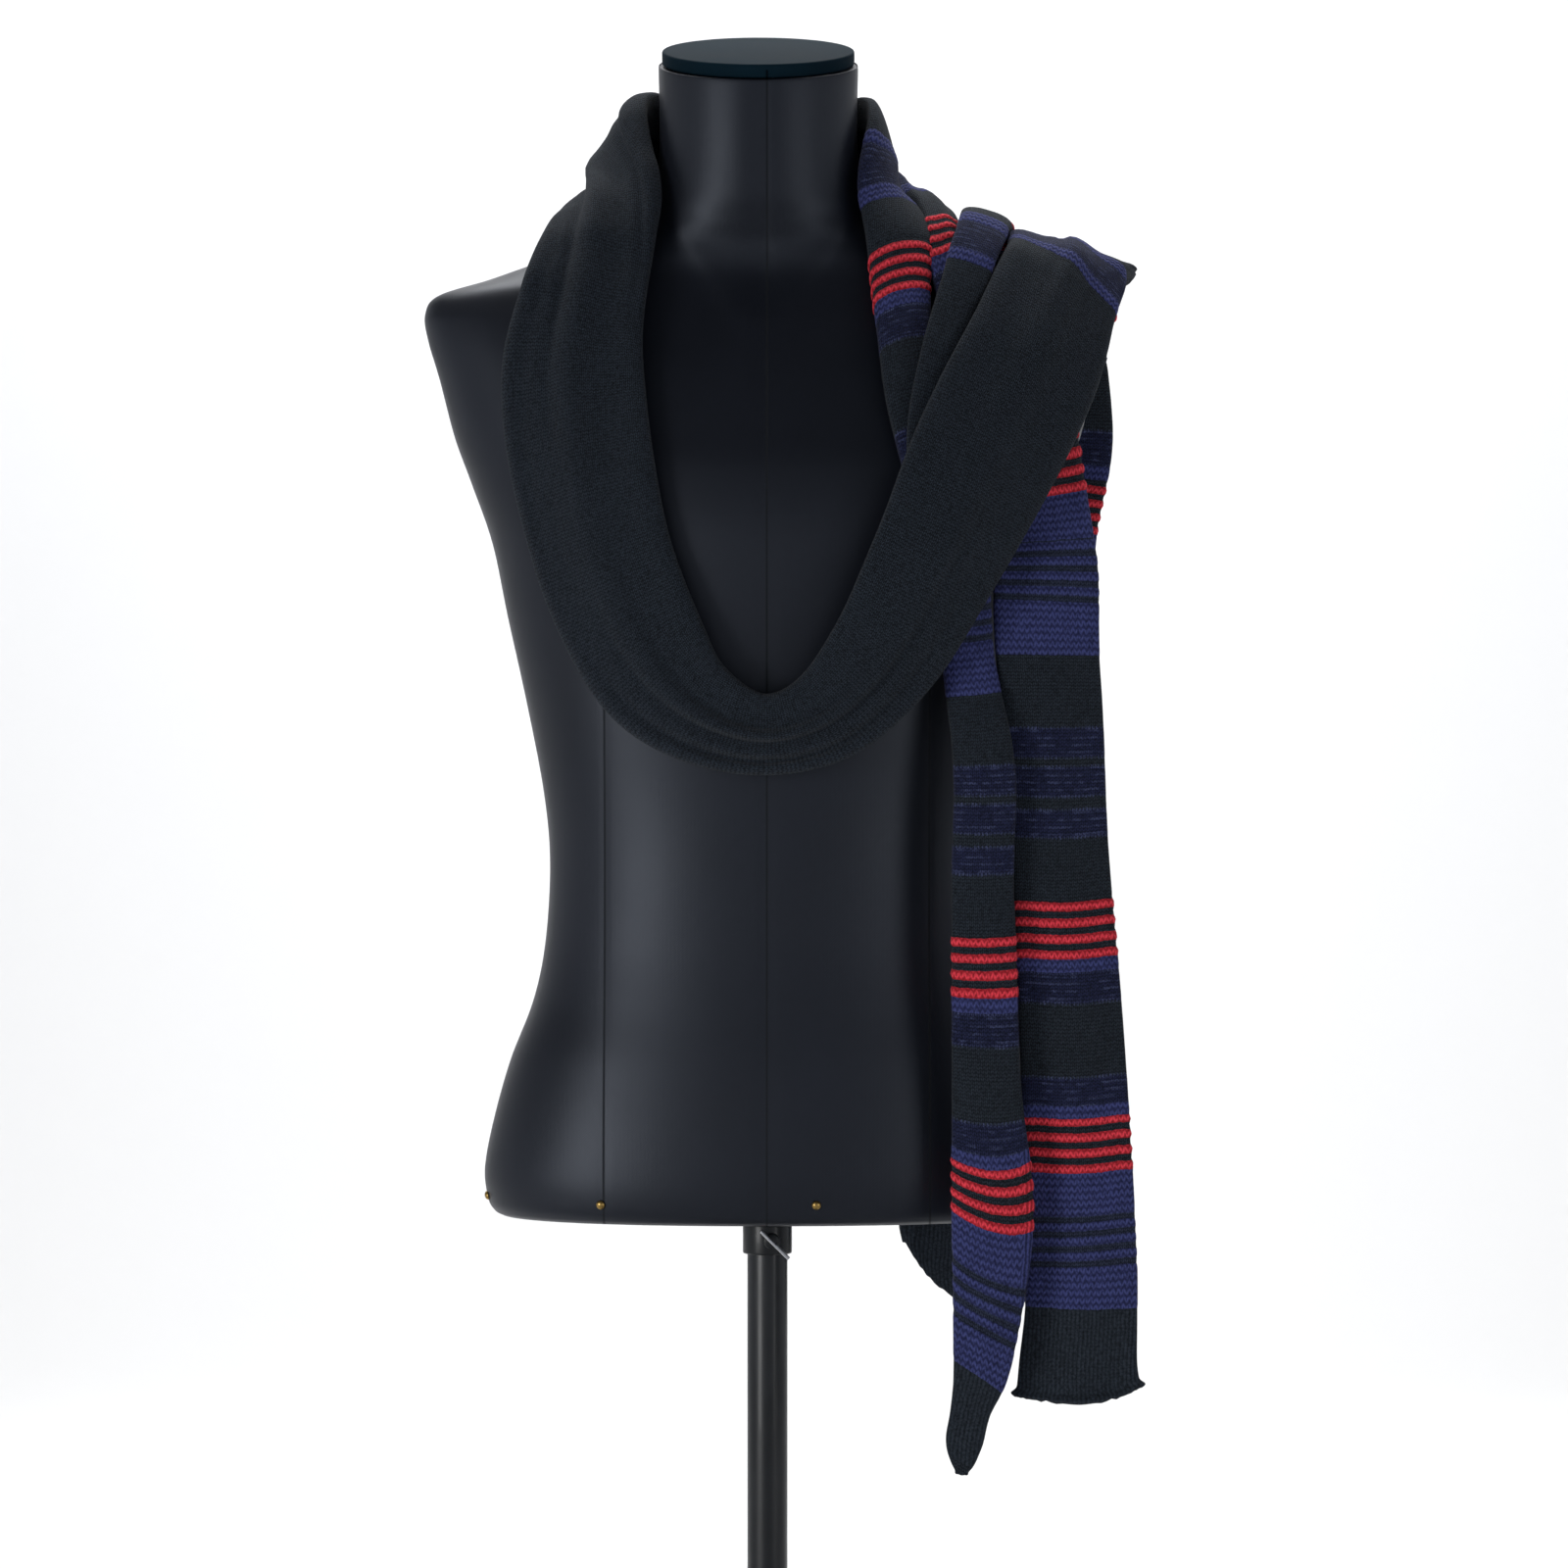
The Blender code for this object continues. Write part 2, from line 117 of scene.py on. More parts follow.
def stand_in(piece, slot, *nodes):
    """Puts a piece in the place of the frame's solids, on the root body; slot is not used."""
    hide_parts(*nodes)
    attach(piece, "root")
    print(piece.name, "stands for", *nodes)


# %% Arithmetic on grids of points
def smooth_rows(rows, steps):
    """`steps` rows for each one given, on a Catmull-Rom curve through them all."""
    given = np.asarray(rows, float)
    ends = np.concatenate([2 * given[:1] - given[1:2], given, 2 * given[-1:] - given[-2:-1]])
    t = np.linspace(0.0, 1.0, steps, endpoint=False)[:, None]
    out = []
    for a, b, c, d in zip(ends[:-3], ends[1:-2], ends[2:-1], ends[3:]):
        curve = (2 * a - 5 * b + 4 * c - d) * t**2 + (3 * b - a - 3 * c + d) * t**3
        out.append(0.5 * (2 * b + (c - a) * t + curve))
    return np.concatenate(out + [given[-1:]])


def finer(grid, along, around):
    """A grid of points refined both ways on Catmull-Rom curves."""
    rows, columns, size = grid.shape
    grid = smooth_rows(grid.reshape(rows, -1), along).reshape(-1, columns, size)
    turned = grid.transpose(1, 0, 2)
    turned = smooth_rows(turned.reshape(columns, -1), around).reshape(-1, len(grid), size)
    return turned.transpose(1, 0, 2)


def unit(vectors):
    """Vectors of length 1: each one divided by its length."""
    return vectors / np.maximum(np.linalg.norm(vectors, axis=-1, keepdims=True), 1e-9)


def normals_of(grid):
    """The way out of a grid's surface: the cross product of its two directions."""
    return unit(np.cross(np.gradient(grid, axis=1), np.gradient(grid, axis=0)))


def bump(distance, width):
    """1 at zero, falling smoothly to nothing at about twice the width."""
    return np.exp(-((distance / width) ** 2))


def powered(wave, power):
    """A sine or cosine raised to a power, with its sign kept: it squares or sharpens a round."""
    return np.sign(wave) * np.abs(wave) ** power


# %% [markdown]
# ## Shader maths as expressions
#
# A finish such as knitting is a formula of the place on the surface. It could be wired node by
# node, but dozens of nodes hide their formula. A wire here stands for one socket of a material,
# and Python's operators on wires add Math nodes, so a stitch or a seam reads as its formula.


# %% A wire in a material
class Wire:
    """A socket of a material that Python's operators work on."""

    def __init__(self, tree, socket):
        self.tree = tree
        self.socket = socket

    def node(self, kind, values=(), output=0, stops=(), **settings):
        """A node of any kind: its settings, then a number or a wire for each input."""
        made = self.tree.nodes.new(kind)
        for name, value in settings.items():
            setattr(made, name, value)
        for place, (position, colour) in enumerate(stops):
            ramp = made.color_ramp.elements
            stop = ramp[place] if place < len(ramp) else ramp.new(position)
            stop.position, stop.color = position, (*colour, 1.0)
        for key, value in dict(values).items():
            if isinstance(value, Wire):
                self.tree.links.new(value.socket, made.inputs[key])
            else:
                made.inputs[key].default_value = value
        return Wire(self.tree, made.outputs[output])

    def math(self, operation, *values):
        """A Math node of one operation on numbers or wires."""
        return self.node("ShaderNodeMath", enumerate(values), operation=operation)

    def __add__(self, other):
        return self.math("ADD", self, other)

    def __radd__(self, other):
        return self.math("ADD", other, self)

    def __sub__(self, other):
        return self.math("SUBTRACT", self, other)

    def __rsub__(self, other):
        return self.math("SUBTRACT", other, self)

    def __mul__(self, other):
        return self.math("MULTIPLY", self, other)

    def __rmul__(self, other):
        return self.math("MULTIPLY", other, self)

    def __truediv__(self, other):
        return self.math("DIVIDE", self, other)

    def __mod__(self, other):
        return self.math("FLOORED_MODULO", self, other)

    def __pow__(self, other):
        return self.math("POWER", self, other)

    def __abs__(self):
        return self.math("ABSOLUTE", self)

    def __gt__(self, other):
        return self.math("GREATER_THAN", self, other)

    def __lt__(self, other):
        return self.math("LESS_THAN", self, other)

    def cos(self):
        """The cosine of an angle in radians."""
        return self.math("COSINE", self)

    def sin(self):
        """The sine of an angle in radians."""
        return self.math("SINE", self)

    def rise(self, low, high):
        """0 below low and 1 above high, with a smooth rise between."""
        values = {"Value": self, "From Min": low, "From Max": high}
        return self.node("ShaderNodeMapRange", values, interpolation_type="SMOOTHSTEP")

    def part(self, name):
        """One of a vector's three numbers."""
        return self.node("ShaderNodeSeparateXYZ", {0: self}, "XYZ".index(name))

    def noise(self, scale, detail=2.0):
        """Soft random patches, so many to the metre, from 0 to 1."""
        values = {"Vector": self, "Scale": scale, "Detail": detail}
        return self.node("ShaderNodeTexNoise", values)

    def choose(self, low, high):
        """A number between two, with this wire as the share of the second."""
        return self.node("ShaderNodeMix", {0: self, 2: low, 3: high})

    def mix(self, low, high):
        """A colour between two, with this wire as the share of the second."""
        values = {0: self, 6: low, 7: high}
        return self.node("ShaderNodeMix", values, 2, data_type="RGBA")

    def relief(self, height):
        """A normal tipped by this height: height is how many metres stand for 1."""
        return self.node("ShaderNodeBump", {"Strength": 1.0, "Distance": height, "Height": self})


# %% Materials and their sockets
def new_finish(name, **sockets):
    """A material and its shader, with the sockets that are the same all over."""
    made = bpy.data.materials.new(name)
    made.use_nodes = True
    shader = made.node_tree.nodes["Principled BSDF"]
    for socket, value in sockets.items():
        shader.inputs[socket.replace("_", " ")].default_value = value
    return made, shader


def connect(shader, **wires):
    """Links wires to the shader's sockets of those names."""
    for socket, wire in wires.items():
        wire.tree.links.new(wire.socket, shader.inputs[socket.replace("_", " ")])


def colour(red, green, blue):
    """A screen colour, 0 to 255, as the light that it stands for."""
    part = np.array([red, green, blue]) / 255
    light = np.where(part < 0.04045, part / 12.92, ((part + 0.055) / 1.055) ** 2.4)
    return (*light.tolist(), 1.0)


# %% The floor
def sweep_floor():
    """A floor that bends up into a wall: a straight run, a quarter circle, a straight run."""
    near, back, radius, top, half = -4.5, 2.6, 1.2, 4.0, 5.0
    turn = np.linspace(0, math.pi / 2, 16)
    depth = np.concatenate([[near], back + radius * np.sin(turn), [back + radius]])
    height = np.concatenate([[0.0], radius * (1 - np.cos(turn)), [top]])
    side = np.linspace(-half, half, 3)
    grid = np.stack(
        [
            np.broadcast_to(side, (len(depth), 3)),
            np.broadcast_to(depth[:, None], (len(depth), 3)),
            np.broadcast_to(height[:, None], (len(depth), 3)),
        ],
        axis=-1,
    )
    finish, _ = new_finish("pale_floor", Roughness=0.85, Base_Color=(0.86, 0.86, 0.86, 1.0))
    return add_piece("floor", grid_mesh("floor", grid), finish)


sweep_floor()
print("floor: one sheet, bent up into a wall")

# %% Lights
Lamp = namedtuple("Lamp", "name place aim size power beam", defaults=(180,))
LAMPS = [  # size in metres, power in watts, beam in degrees across
    Lamp("key", (-2.2, -2.3, 0.62), (-0.05, 0.0, 0.5), 1.2, 2.7, 40),
    Lamp("fill", (2.3, -2.2, 0.62), (0.0, 0.0, 0.55), 1.2, 0.9, 45),
    Lamp("wall", (0.0, 0.9, 3.0), (0.0, 3.4, 0.9), 2.4, 74.0),
    Lamp("floor", (0.0, 1.3, 3.0), (0.0, 1.7, 0.0), 2.4, 54.0),
]
SKY = [  # height of the direction looked in, from -1 to 1, and how bright it is
    (0.0, 0.85),
    (0.5, 0.85),
    (0.56, 0.5),
    (0.66, 0.16),
    (0.8, 0.08),
    (1.0, 0.06),
]
SKY_TINT = (0.93, 0.97, 1.06)


def add_lamp(lamp):
    """A soft square light that faces its aim."""
    light = bpy.data.lights.new(lamp.name, "AREA")
    light.size, light.energy = lamp.size, lamp.power
    light.spread = math.radians(lamp.beam)
    made = bpy.data.objects.new(lamp.name, light)
    made.location = lamp.place
    away = made.location - Vector(lamp.aim)
    made.rotation_euler = away.to_track_quat("Z", "Y").to_euler()
    bpy.context.scene.collection.objects.link(made)


def soft_room():
    """A pale room: its light falls with the height that is looked at, as SKY gives it."""
    room = bpy.data.worlds.new("room")
    room.use_nodes = True
    sky = Wire(room.node_tree, None)
    height = sky.node("ShaderNodeTexCoord").part("Z") * 0.5 + 0.5
    stops = [(place, tuple(light * part for part in SKY_TINT)) for place, light in SKY]
    glow = height.node("ShaderNodeValToRGB", {0: height}, stops=stops)
    background = room.node_tree.nodes["Background"]
    room.node_tree.links.new(glow.socket, background.inputs[0])
    bpy.context.scene.world = room


for lamp in LAMPS:
    add_lamp(lamp)
soft_room()
bpy.context.scene.view_settings.view_transform = "Standard"
print("stage:", len(LAMPS), "lights")

# %% [markdown]
# ## The dress form
#
# The torso is a hard shell under a stretched jersey cover. It could be sculpted, or smoothed
# from a coarse cage, but then nothing could tell the cloth how far it lies from the form. So it
# is a stack of level rings, each a superellipse: |x / half|^n + |y / depth|^n = 1, with its own
# depth to the front and back. The rings make the surface here, and settle the cloth later.
# Heights are in millimetres above the torso's lower edge line.

# %% The form's rings
TORSO_HEIGHT = 450.0
FormRow = namedtuple("FormRow", "h half front back mid lean square slope")
FORM = [
    FormRow(7, 176, 96, 104, 0, 0, 2.3, 0.0),
    FormRow(10, 181, 101, 109, 0, 0, 2.3, 0.0),
    FormRow(18, 185, 105, 113, 0, 0, 2.3, 0.0),
    FormRow(38, 187, 107, 114, 0, 0, 2.3, 0.0),
    FormRow(70, 181, 106, 111, 0, 0, 2.3, 0.0),
    FormRow(109, 170, 103, 106, 0, 0, 2.3, 0.0),
    FormRow(148, 155, 99, 99, 0, 0, 2.3, 0.0),
    FormRow(187, 147, 96, 93, 0, 0, 2.3, 0.0),
    FormRow(239, 144, 96, 90, 0, 0, 2.3, 0.0),
    FormRow(285, 148, 98, 92, 0, 0, 2.3, 0.0),
    FormRow(343, 159, 103, 98, 0, 0, 2.3, 0.0),
    FormRow(402, 172, 109, 106, 0, 0, 2.3, 0.0),
    FormRow(450, 182, 112, 113, 0, 0, 2.3, 0.0),
    FormRow(490, 196, 108, 116, 0, 0, 2.3, 0.0),
    FormRow(520, 207, 100, 114, 0, 0, 2.3, 0.0),
    FormRow(558, 217, 87, 106, 0, 0, 2.35, 0.0),
    FormRow(585, 225, 76, 95, 1, 0, 2.4, 0.0),
    FormRow(602, 227, 69, 84, 2, 0, 2.4, 0.0),
    FormRow(614, 219, 65, 76, 3, 0, 2.35, 0.0),
    FormRow(624, 186, 62, 69, 3, -1, 2.3, 0.0),
    FormRow(635, 153, 60, 64, 2, -3, 2.2, 0.02),
    FormRow(648, 112, 59, 61, 0, -5, 2.1, 0.05),
    FormRow(663, 84, 60, 61, -3, -6, 2.0, 0.08),
    FormRow(680, 70, 61, 61, -6, -6, 2.0, 0.12),
    FormRow(705, 65, 61, 61, -9, -6, 2.0, 0.18),
    FormRow(735, 64.5, 61.5, 61.5, -12, -6, 2.0, 0.25),
    FormRow(763, 65, 62, 62, -14, -6, 2.0, 0.31),
    FormRow(765, 64, 61, 61, -14, -6, 2.0, 0.31),
]
FORM_FINE = smooth_rows(FORM, 4)


def placed(points):
    """Millimetres from the torso's lower edge line, as metres in the frame."""
    return (points + [0, 0, TORSO_HEIGHT]) * MM


def ring_points(rings, sides):
    """Points round each ring: x and y from the angle's cosine and sine to the power 2 / n."""
    turn = np.linspace(0, 2 * math.pi, sides, endpoint=False)
    h, half, front, back, mid, lean, square, slope = (rings[:, k, None] for k in range(8))
    x = powered(np.cos(turn), 2 / square) * half + lean
    y = powered(np.sin(turn), 2 / square)
    y = y * np.where(y < 0, front, back)
    return np.stack([x, y + mid, h + slope * y], axis=-1)


# %% Distance from the form
STEP = 0.5  # mm, for slopes by differences
WALKS = 5  # steps that find the form's surface from a point near it
PULLS, PULL = 8, 0.5  # steps that settle the cloth, and the share of the way that each goes


def form_ratio(points):
    """1 on the form's surface, less inside it and more outside, in ring sizes."""
    ring = [np.interp(points[..., 2], FORM_FINE[:, 0], FORM_FINE[:, k]) for k in range(1, 7)]
    half, front, back, mid, lean, square = ring
    y = points[..., 1] - mid
    depth = np.where(y < 0, front, back)
    across = np.abs((points[..., 0] - lean) / half) ** square
    return (across + np.abs(y / depth) ** square) ** (1 / square)


def ratio_slope(points):
    """How fast the ratio grows along X, Y and Z, by small differences."""
    ahead = [form_ratio(points + STEP * axis) for axis in np.eye(3)]
    behind = [form_ratio(points - STEP * axis) for axis in np.eye(3)]
    return (np.stack(ahead, axis=-1) - np.stack(behind, axis=-1)) / (2 * STEP)


def form_gap(points):
    """The distance of points from the form, and the way out from it, by walks to its surface."""
    foot = points
    for _ in range(WALKS):
        slope = ratio_slope(foot)
        size = np.maximum(np.linalg.norm(slope, axis=-1, keepdims=True), 1e-4)
        foot = foot - slope / size**2 * (form_ratio(foot)[..., None] - 1)
    way = slope / size
    gap = ((points - foot) * way).sum(-1, keepdims=True)
    return gap, way


def settle(points, lift, share):
    """Moves points towards `lift` above the form, by a share of the way, in short steps."""
    for _ in range(PULLS):
        gap, out = form_gap(points)
        points = points + out * (lift - gap) * share * PULL
    return points


# %% [markdown]
# ## The form's cover
#
# The cover is a dense charcoal jersey, cut in panels and sewn. The panels could be separate
# pieces, but they lie flush, so one surface carries them: each seam is a narrow groove in the
# mesh, darker and duller in the finish, down the middle and down both sides, front and back.
# The weave is too fine to model, so it is a bump of thin upright ribs.

# %% The cover's finish
SEAMS = (-105.0, 0.0, 105.0)  # mm from the middle
SEAM_WIDTH = 1.1
SEAM_TOP = TORSO_HEIGHT + FORM[-1].h - 12  # the lowest point of the neck's sloping rim
RIBS_ACROSS, RIBS_UP, RIBS_SLANT = 7.5, 6.2, 3.7  # radians of the weave's waves to the mm


def cover_finish(name, gloss, roughness, dark, pale):
    """Jersey: upright ribs, soft patches of light wear, and the seams.

    The tone is the patches' noise, less the seams, with a faint painted shade from the ribs;
    the ribs are the mean of two cosines.
    """
    made, shader = new_finish(
        name, Specular_IOR_Level=gloss, Specular_Tint=(0.8, 0.87, 1.0, 1.0)
    )
    place = Wire(made.node_tree, None).node("ShaderNodeTexCoord", output=3)
    x, z = place.part("X") / MM, place.part("Z") / MM
    weave = (x * RIBS_ACROSS).cos() * 0.5 + (z * RIBS_UP + x * RIBS_SLANT).cos() * 0.5
    seam = 0.0
    for middle in SEAMS:
        seam = seam + 1 - abs(x - middle).rise(SEAM_WIDTH * 0.2, SEAM_WIDTH)
    seam = seam * (1 - z.rise(SEAM_TOP - 1, SEAM_TOP))
    patch = place.noise(9.0, 3.0)
    # weave * 0.03 adds a faint painted shade of the ribs to the tone.
    tone = (patch - 0.5) * 0.5 + 0.5 + weave * 0.03 - seam * 0.6
    connect(
        shader,
        Base_Color=tone.rise(0.0, 1.0).mix(dark, pale),
        Roughness=patch * 0.12 + seam * 0.3 + roughness,
        Normal=(weave * 0.015).relief(MM),
    )
    return made


# %% The torso
TORSO_SIDES, TORSO_STEPS = 288, 8
GROOVE = 0.3  # mm
VEE_LOW, VEE_SLOPE, VEE_SOFT, VEE_LEFT = 563.0, 0.62, 3.0, 4.0  # mm, and mm across for each up
VEE_STANDS, VEE_STARTS = 1.8, 30.0  # mm that the V stands out, and the height it takes to do so
HOLLOW, HOLLOW_WIDE, HOLLOW_STARTS = 1.0, 9.0, 60.0  # mm, the soft hollow down its middle
CLOSING = 6  # rings that close each end


def closed_ends(grid):
    """Adds rings that shrink evenly to the middle of the first and of the last ring."""
    share = np.linspace(0.0, 1.0, CLOSING + 1)[:-1, None, None]
    foot, neck = grid[:1].mean(1, keepdims=True), grid[-1:].mean(1, keepdims=True)
    low = foot + (grid[:1] - foot) * share
    high = neck + (grid[-1:] - neck) * share
    return np.concatenate([low, grid, high[::-1]])


def throat(x, h):
    """How far the neck's front stands out: two flat planes that meet in a V on the chest.

    The V's edge is a logistic step, across |x| = slope * height, and its hollow is a bump.
    """
    above = h - VEE_LOW
    inside = above * VEE_SLOPE - np.abs(x + VEE_LEFT)
    planes = 1 / (1 + np.exp(-inside / VEE_SOFT)) * np.clip(above / VEE_STARTS, 0, 1)
    hollow = bump(x + VEE_LEFT, HOLLOW_WIDE) * np.clip(above / HOLLOW_STARTS, 0, 1)
    return planes * VEE_STANDS - hollow * HOLLOW


def make_torso(finish):
    """The rings, with the throat standing out and the seams let in."""
    grid = ring_points(smooth_rows(FORM, TORSO_STEPS), TORSO_SIDES)
    x, h = grid[..., 0], grid[..., 2]
    out = unit(grid * [1, 1, 0])
    facing = np.abs(out[..., 1]) > 0.3
    groove = sum(bump(x - middle, SEAM_WIDTH * 1.6) for middle in SEAMS) * facing
    push = throat(x, h) * np.clip(-out[..., 1] * 2, 0, 1) - groove * GROOVE
    grid = grid + out * push[..., None]
    mesh = grid_mesh("form_torso", placed(closed_ends(grid)), around=True)
    return add_piece("form_torso", mesh, finish)


cover = cover_finish("form_cover", 0.4, 0.38, colour(4, 5, 8), colour(20, 23, 33))
torso = make_torso(cover)
stand_in(torso, "form_cover", "torso")

# %% [markdown]
# ## Turned pieces
#
# The cap, the pole, its collar, the screw and the foot are all round, as turned on a lathe. A
# Screw modifier could turn their profiles, but some are tilted and all need their place in the
# mesh. So each profile of (radius, height) is carried round an axis as one array of points:
# x = r cos t, y = r sin t, z = h.


# %% A turned surface
def rounded(profile, radius, steps=5):
    """A profile with its inner corners rounded, by a quadratic curve across each corner."""
    points = np.array(profile, float)
    out = [points[:1]]
    t = np.linspace(0, 1, steps)[:, None]
    for a, b, c in zip(points[:-2], points[1:-1], points[2:]):
        into = b + (a - b) * min(0.5, radius / np.linalg.norm(a - b))
        away = b + (c - b) * min(0.5, radius / np.linalg.norm(c - b))
        out.append((1 - t) ** 2 * into + 2 * t * (1 - t) * b + t**2 * away)
    return np.concatenate(out + [points[-1:]])


def turned_points(profile, sides):
    """The profile at each angle round the Z axis, in millimetres."""
    turn = np.linspace(0, 2 * math.pi, sides, endpoint=False)
    radius, height = profile[:, :1], profile[:, 1:]
    return np.stack(
        [radius * np.cos(turn), radius * np.sin(turn), height + 0 * turn], axis=-1
    )


def tipped(points, angle, middle):
    """Points turned about the X axis by an angle, then moved to their middle."""
    spin = np.array(
        [
            [1, 0, 0],
            [0, math.cos(angle), -math.sin(angle)],
            [0, math.sin(angle), math.cos(angle)],
        ]
    )
    return points @ spin.T + np.array(middle)


def turned_piece(name, profile, sides, finish, angle=0.0, middle=(0, 0, 0)):
    """A closed round piece in the frame, in millimetres from the floor's centre."""
    points = tipped(turned_points(profile, sides), angle, middle) * MM
    return add_piece(name, grid_mesh(name, points, around=True), finish)


def disc(radius, low, high, edge):
    """A disc's profile, from the axis below, round its edge, to the axis above."""
    return rounded([(0, low), (radius, low), (radius, high), (0, high)], edge)


# %% [markdown]
# ## Metal finishes
#
# The stand is satin black powder coat, which has a fine orange-peel skin. The bar is bare
# steel and the tacks are brass, both dulled in patches by handling. Plain colours would look
# like plastic, and nothing here has a map to paint on, so noise on the place gives each metal
# its patches, its uneven gloss and its skin.


# %% Metal finishes
def black_metal_finish():
    """Powder coat: slow noise for its tone and gloss, and fine noise for its skin."""
    made, shader = new_finish("black_metal", Specular_IOR_Level=0.3, Coat_Weight=0.08)
    place = Wire(made.node_tree, None).node("ShaderNodeTexCoord", output=3)
    skin = place.noise(1400.0, 2.0)
    patch = place.noise(30.0, 3.0)
    connect(
        shader,
        Base_Color=patch.mix(colour(14, 16, 18), colour(30, 33, 37)),
        Roughness=patch * 0.2 + 0.28,
        Normal=skin.relief(0.05 * MM),
    )
    return made


def bare_metal_finish(name, dull, bright, roughness):
    """Bare metal: one noise sets how dull, how rough and how uneven each patch is."""
    made, shader = new_finish(name, Metallic=1.0)
    place = Wire(made.node_tree, None).node("ShaderNodeTexCoord", output=3)
    patch = place.noise(420.0, 4.0)
    connect(
        shader,
        Base_Color=patch.mix(dull, bright),
        Roughness=patch * 0.2 + roughness,
        Normal=patch.relief(0.04 * MM),
    )
    return made


black_metal = black_metal_finish()
steel = bare_metal_finish("steel", colour(150, 152, 156), colour(214, 216, 220), 0.2)
brass = bare_metal_finish("brass", colour(120, 96, 52), colour(196, 164, 98), 0.25)
print("finishes:", black_metal.name, steel.name, brass.name)

# %% [markdown]
# ## Neck cap, stand and clamp
#
# The neck ends in a tilted disc covered in the same jersey, worn smooth, with a dark groove
# under it. The disc's teal tone is a painted reflection of the bluish sky above it. The pole runs
# up into the torso through a collar, whose screw has a round head and a thin bar through it to
# turn it by. The frame has all of these as faceted solids. They could keep those shapes, but
# their cut edges catch no light, so each is turned again with its edges rounded, in the same
# place and size.

# %% Neck cap
CAP_RADIUS, CAP_THICK, CAP_GROOVE = 63.5, 9.0, 1.2
top = FORM[-1]
cap_tilt = math.atan(top.slope)
cap_place = (top.lean, top.mid, TORSO_HEIGHT + top.h + CAP_GROOVE)
# The cap's teal colours are a painted reflection of the bluish sky, over the whole disc.
cap_cover_painted_sky = cover_finish("cap_cover_painted_sky", 0.03, 0.6, colour(6, 14, 19), colour(20, 44, 56))
cap = turned_piece(
    "neck_cap_disc", disc(CAP_RADIUS, 0, CAP_THICK, 1.6), 128, cap_cover_painted_sky, cap_tilt, cap_place
)
stand_in(cap, "form_cover", "neck_cap")

# %% Stand
POLE_RADIUS, COLLAR_RADIUS, COLLAR_HEIGHT = 13.3, 16.3, 20.0
FOOT_RADIUS, FOOT_THICK, HUB_RADIUS, HUB_HEIGHT = 150.0, 10.0, 24.0, 32.0
GAP = 0.3  # mm between pieces that meet
pole_low, pole_high = FOOT_THICK + GAP, TORSO_HEIGHT + FORM[0].h - GAP
collar_low, collar_high = TORSO_HEIGHT - COLLAR_HEIGHT, TORSO_HEIGHT - GAP
hub_high = FOOT_THICK + HUB_HEIGHT
bore = POLE_RADIUS + 0.1


def sleeve(radius, low, high, edge):
    """A sleeve's profile round the pole: up its outer side and back down its bore."""
    loop = [(bore, low), (radius, low), (radius, high), (bore, high), (bore, low)]
    return rounded(loop, edge)


Turned = namedtuple("Turned", "name node profile sides")
STAND = [
    Turned("foot", "foot_plate", disc(FOOT_RADIUS, 0, FOOT_THICK, 3.0), 192),
    Turned("hub", "foot_hub", sleeve(HUB_RADIUS, pole_low, hub_high, 5.0), 96),
    Turned("pole_tube", "pole", disc(POLE_RADIUS, pole_low, pole_high, 0.6), 64),
    Turned("collar", "pole_collar", sleeve(COLLAR_RADIUS, collar_low, collar_high, 1.2), 96),
]
for row in STAND:
    piece = turned_piece(row.name, row.profile, row.sides, black_metal)
    stand_in(piece, "black_metal", row.node)

# %% Clamp
SCREW_RADIUS, SCREW_REACH, SCREW_SIDE = 5.2, 9.0, 3.0
SCREW_NECK, SCREW_HEAD, SCREW_RIM, SCREW_DOME = 3.2, (2.4, 3.2), 8.0, 0.8
BAR_RADIUS, BAR_LENGTH, BAR_TILT, BAR_SIDE, BAR_DROP = 1.3, 26.0, math.radians(45), 5.0, 2.0
clamp_level = TORSO_HEIGHT - COLLAR_HEIGHT / 2
clamp_front = -COLLAR_RADIUS - GAP
clamp_place = (SCREW_SIDE, clamp_front, clamp_level)
screw_profile = [
    (0, 0),
    (SCREW_NECK, 0),
    (SCREW_NECK, SCREW_HEAD[0]),
    (SCREW_RADIUS, SCREW_HEAD[1]),
    (SCREW_RADIUS, SCREW_RIM),
    (0, SCREW_REACH),
]
screw = turned_piece(
    "clamp_knob", rounded(screw_profile, SCREW_DOME), 48, black_metal, math.pi / 2, clamp_place
)
stand_in(screw, "black_metal", "clamp_screw")


def bar_points():
    """A round bar with domed ends, tilted in the plane that faces the viewer."""
    end = BAR_LENGTH / 2
    profile = rounded([(0, -end), (BAR_RADIUS, -end), (BAR_RADIUS, end), (0, end)], 0.7)
    points = turned_points(profile, 20)
    across, up = math.sin(BAR_TILT), math.cos(BAR_TILT)
    x = points[..., 2] * across + points[..., 0] * up
    z = points[..., 0] * across - points[..., 2] * up
    front = clamp_front - SCREW_REACH - GAP - BAR_RADIUS
    middle = np.array([BAR_SIDE, front, clamp_level - BAR_DROP])
    return np.stack([x, -points[..., 1], z], axis=-1) + middle


bar = add_piece("clamp_lever", grid_mesh("clamp_lever", bar_points() * MM, around=True), steel)
stand_in(bar, "steel", "clamp_bar")

# %% Tacks
TACKS, TACK_TURN, TACK_LEVEL = 8, 0.22, 20.0
TACK_RADIUS, TACK_HEIGHT = 3.0, 2.2
TACK_RING = FORM[3]  # the widest of the rings near the lower edge


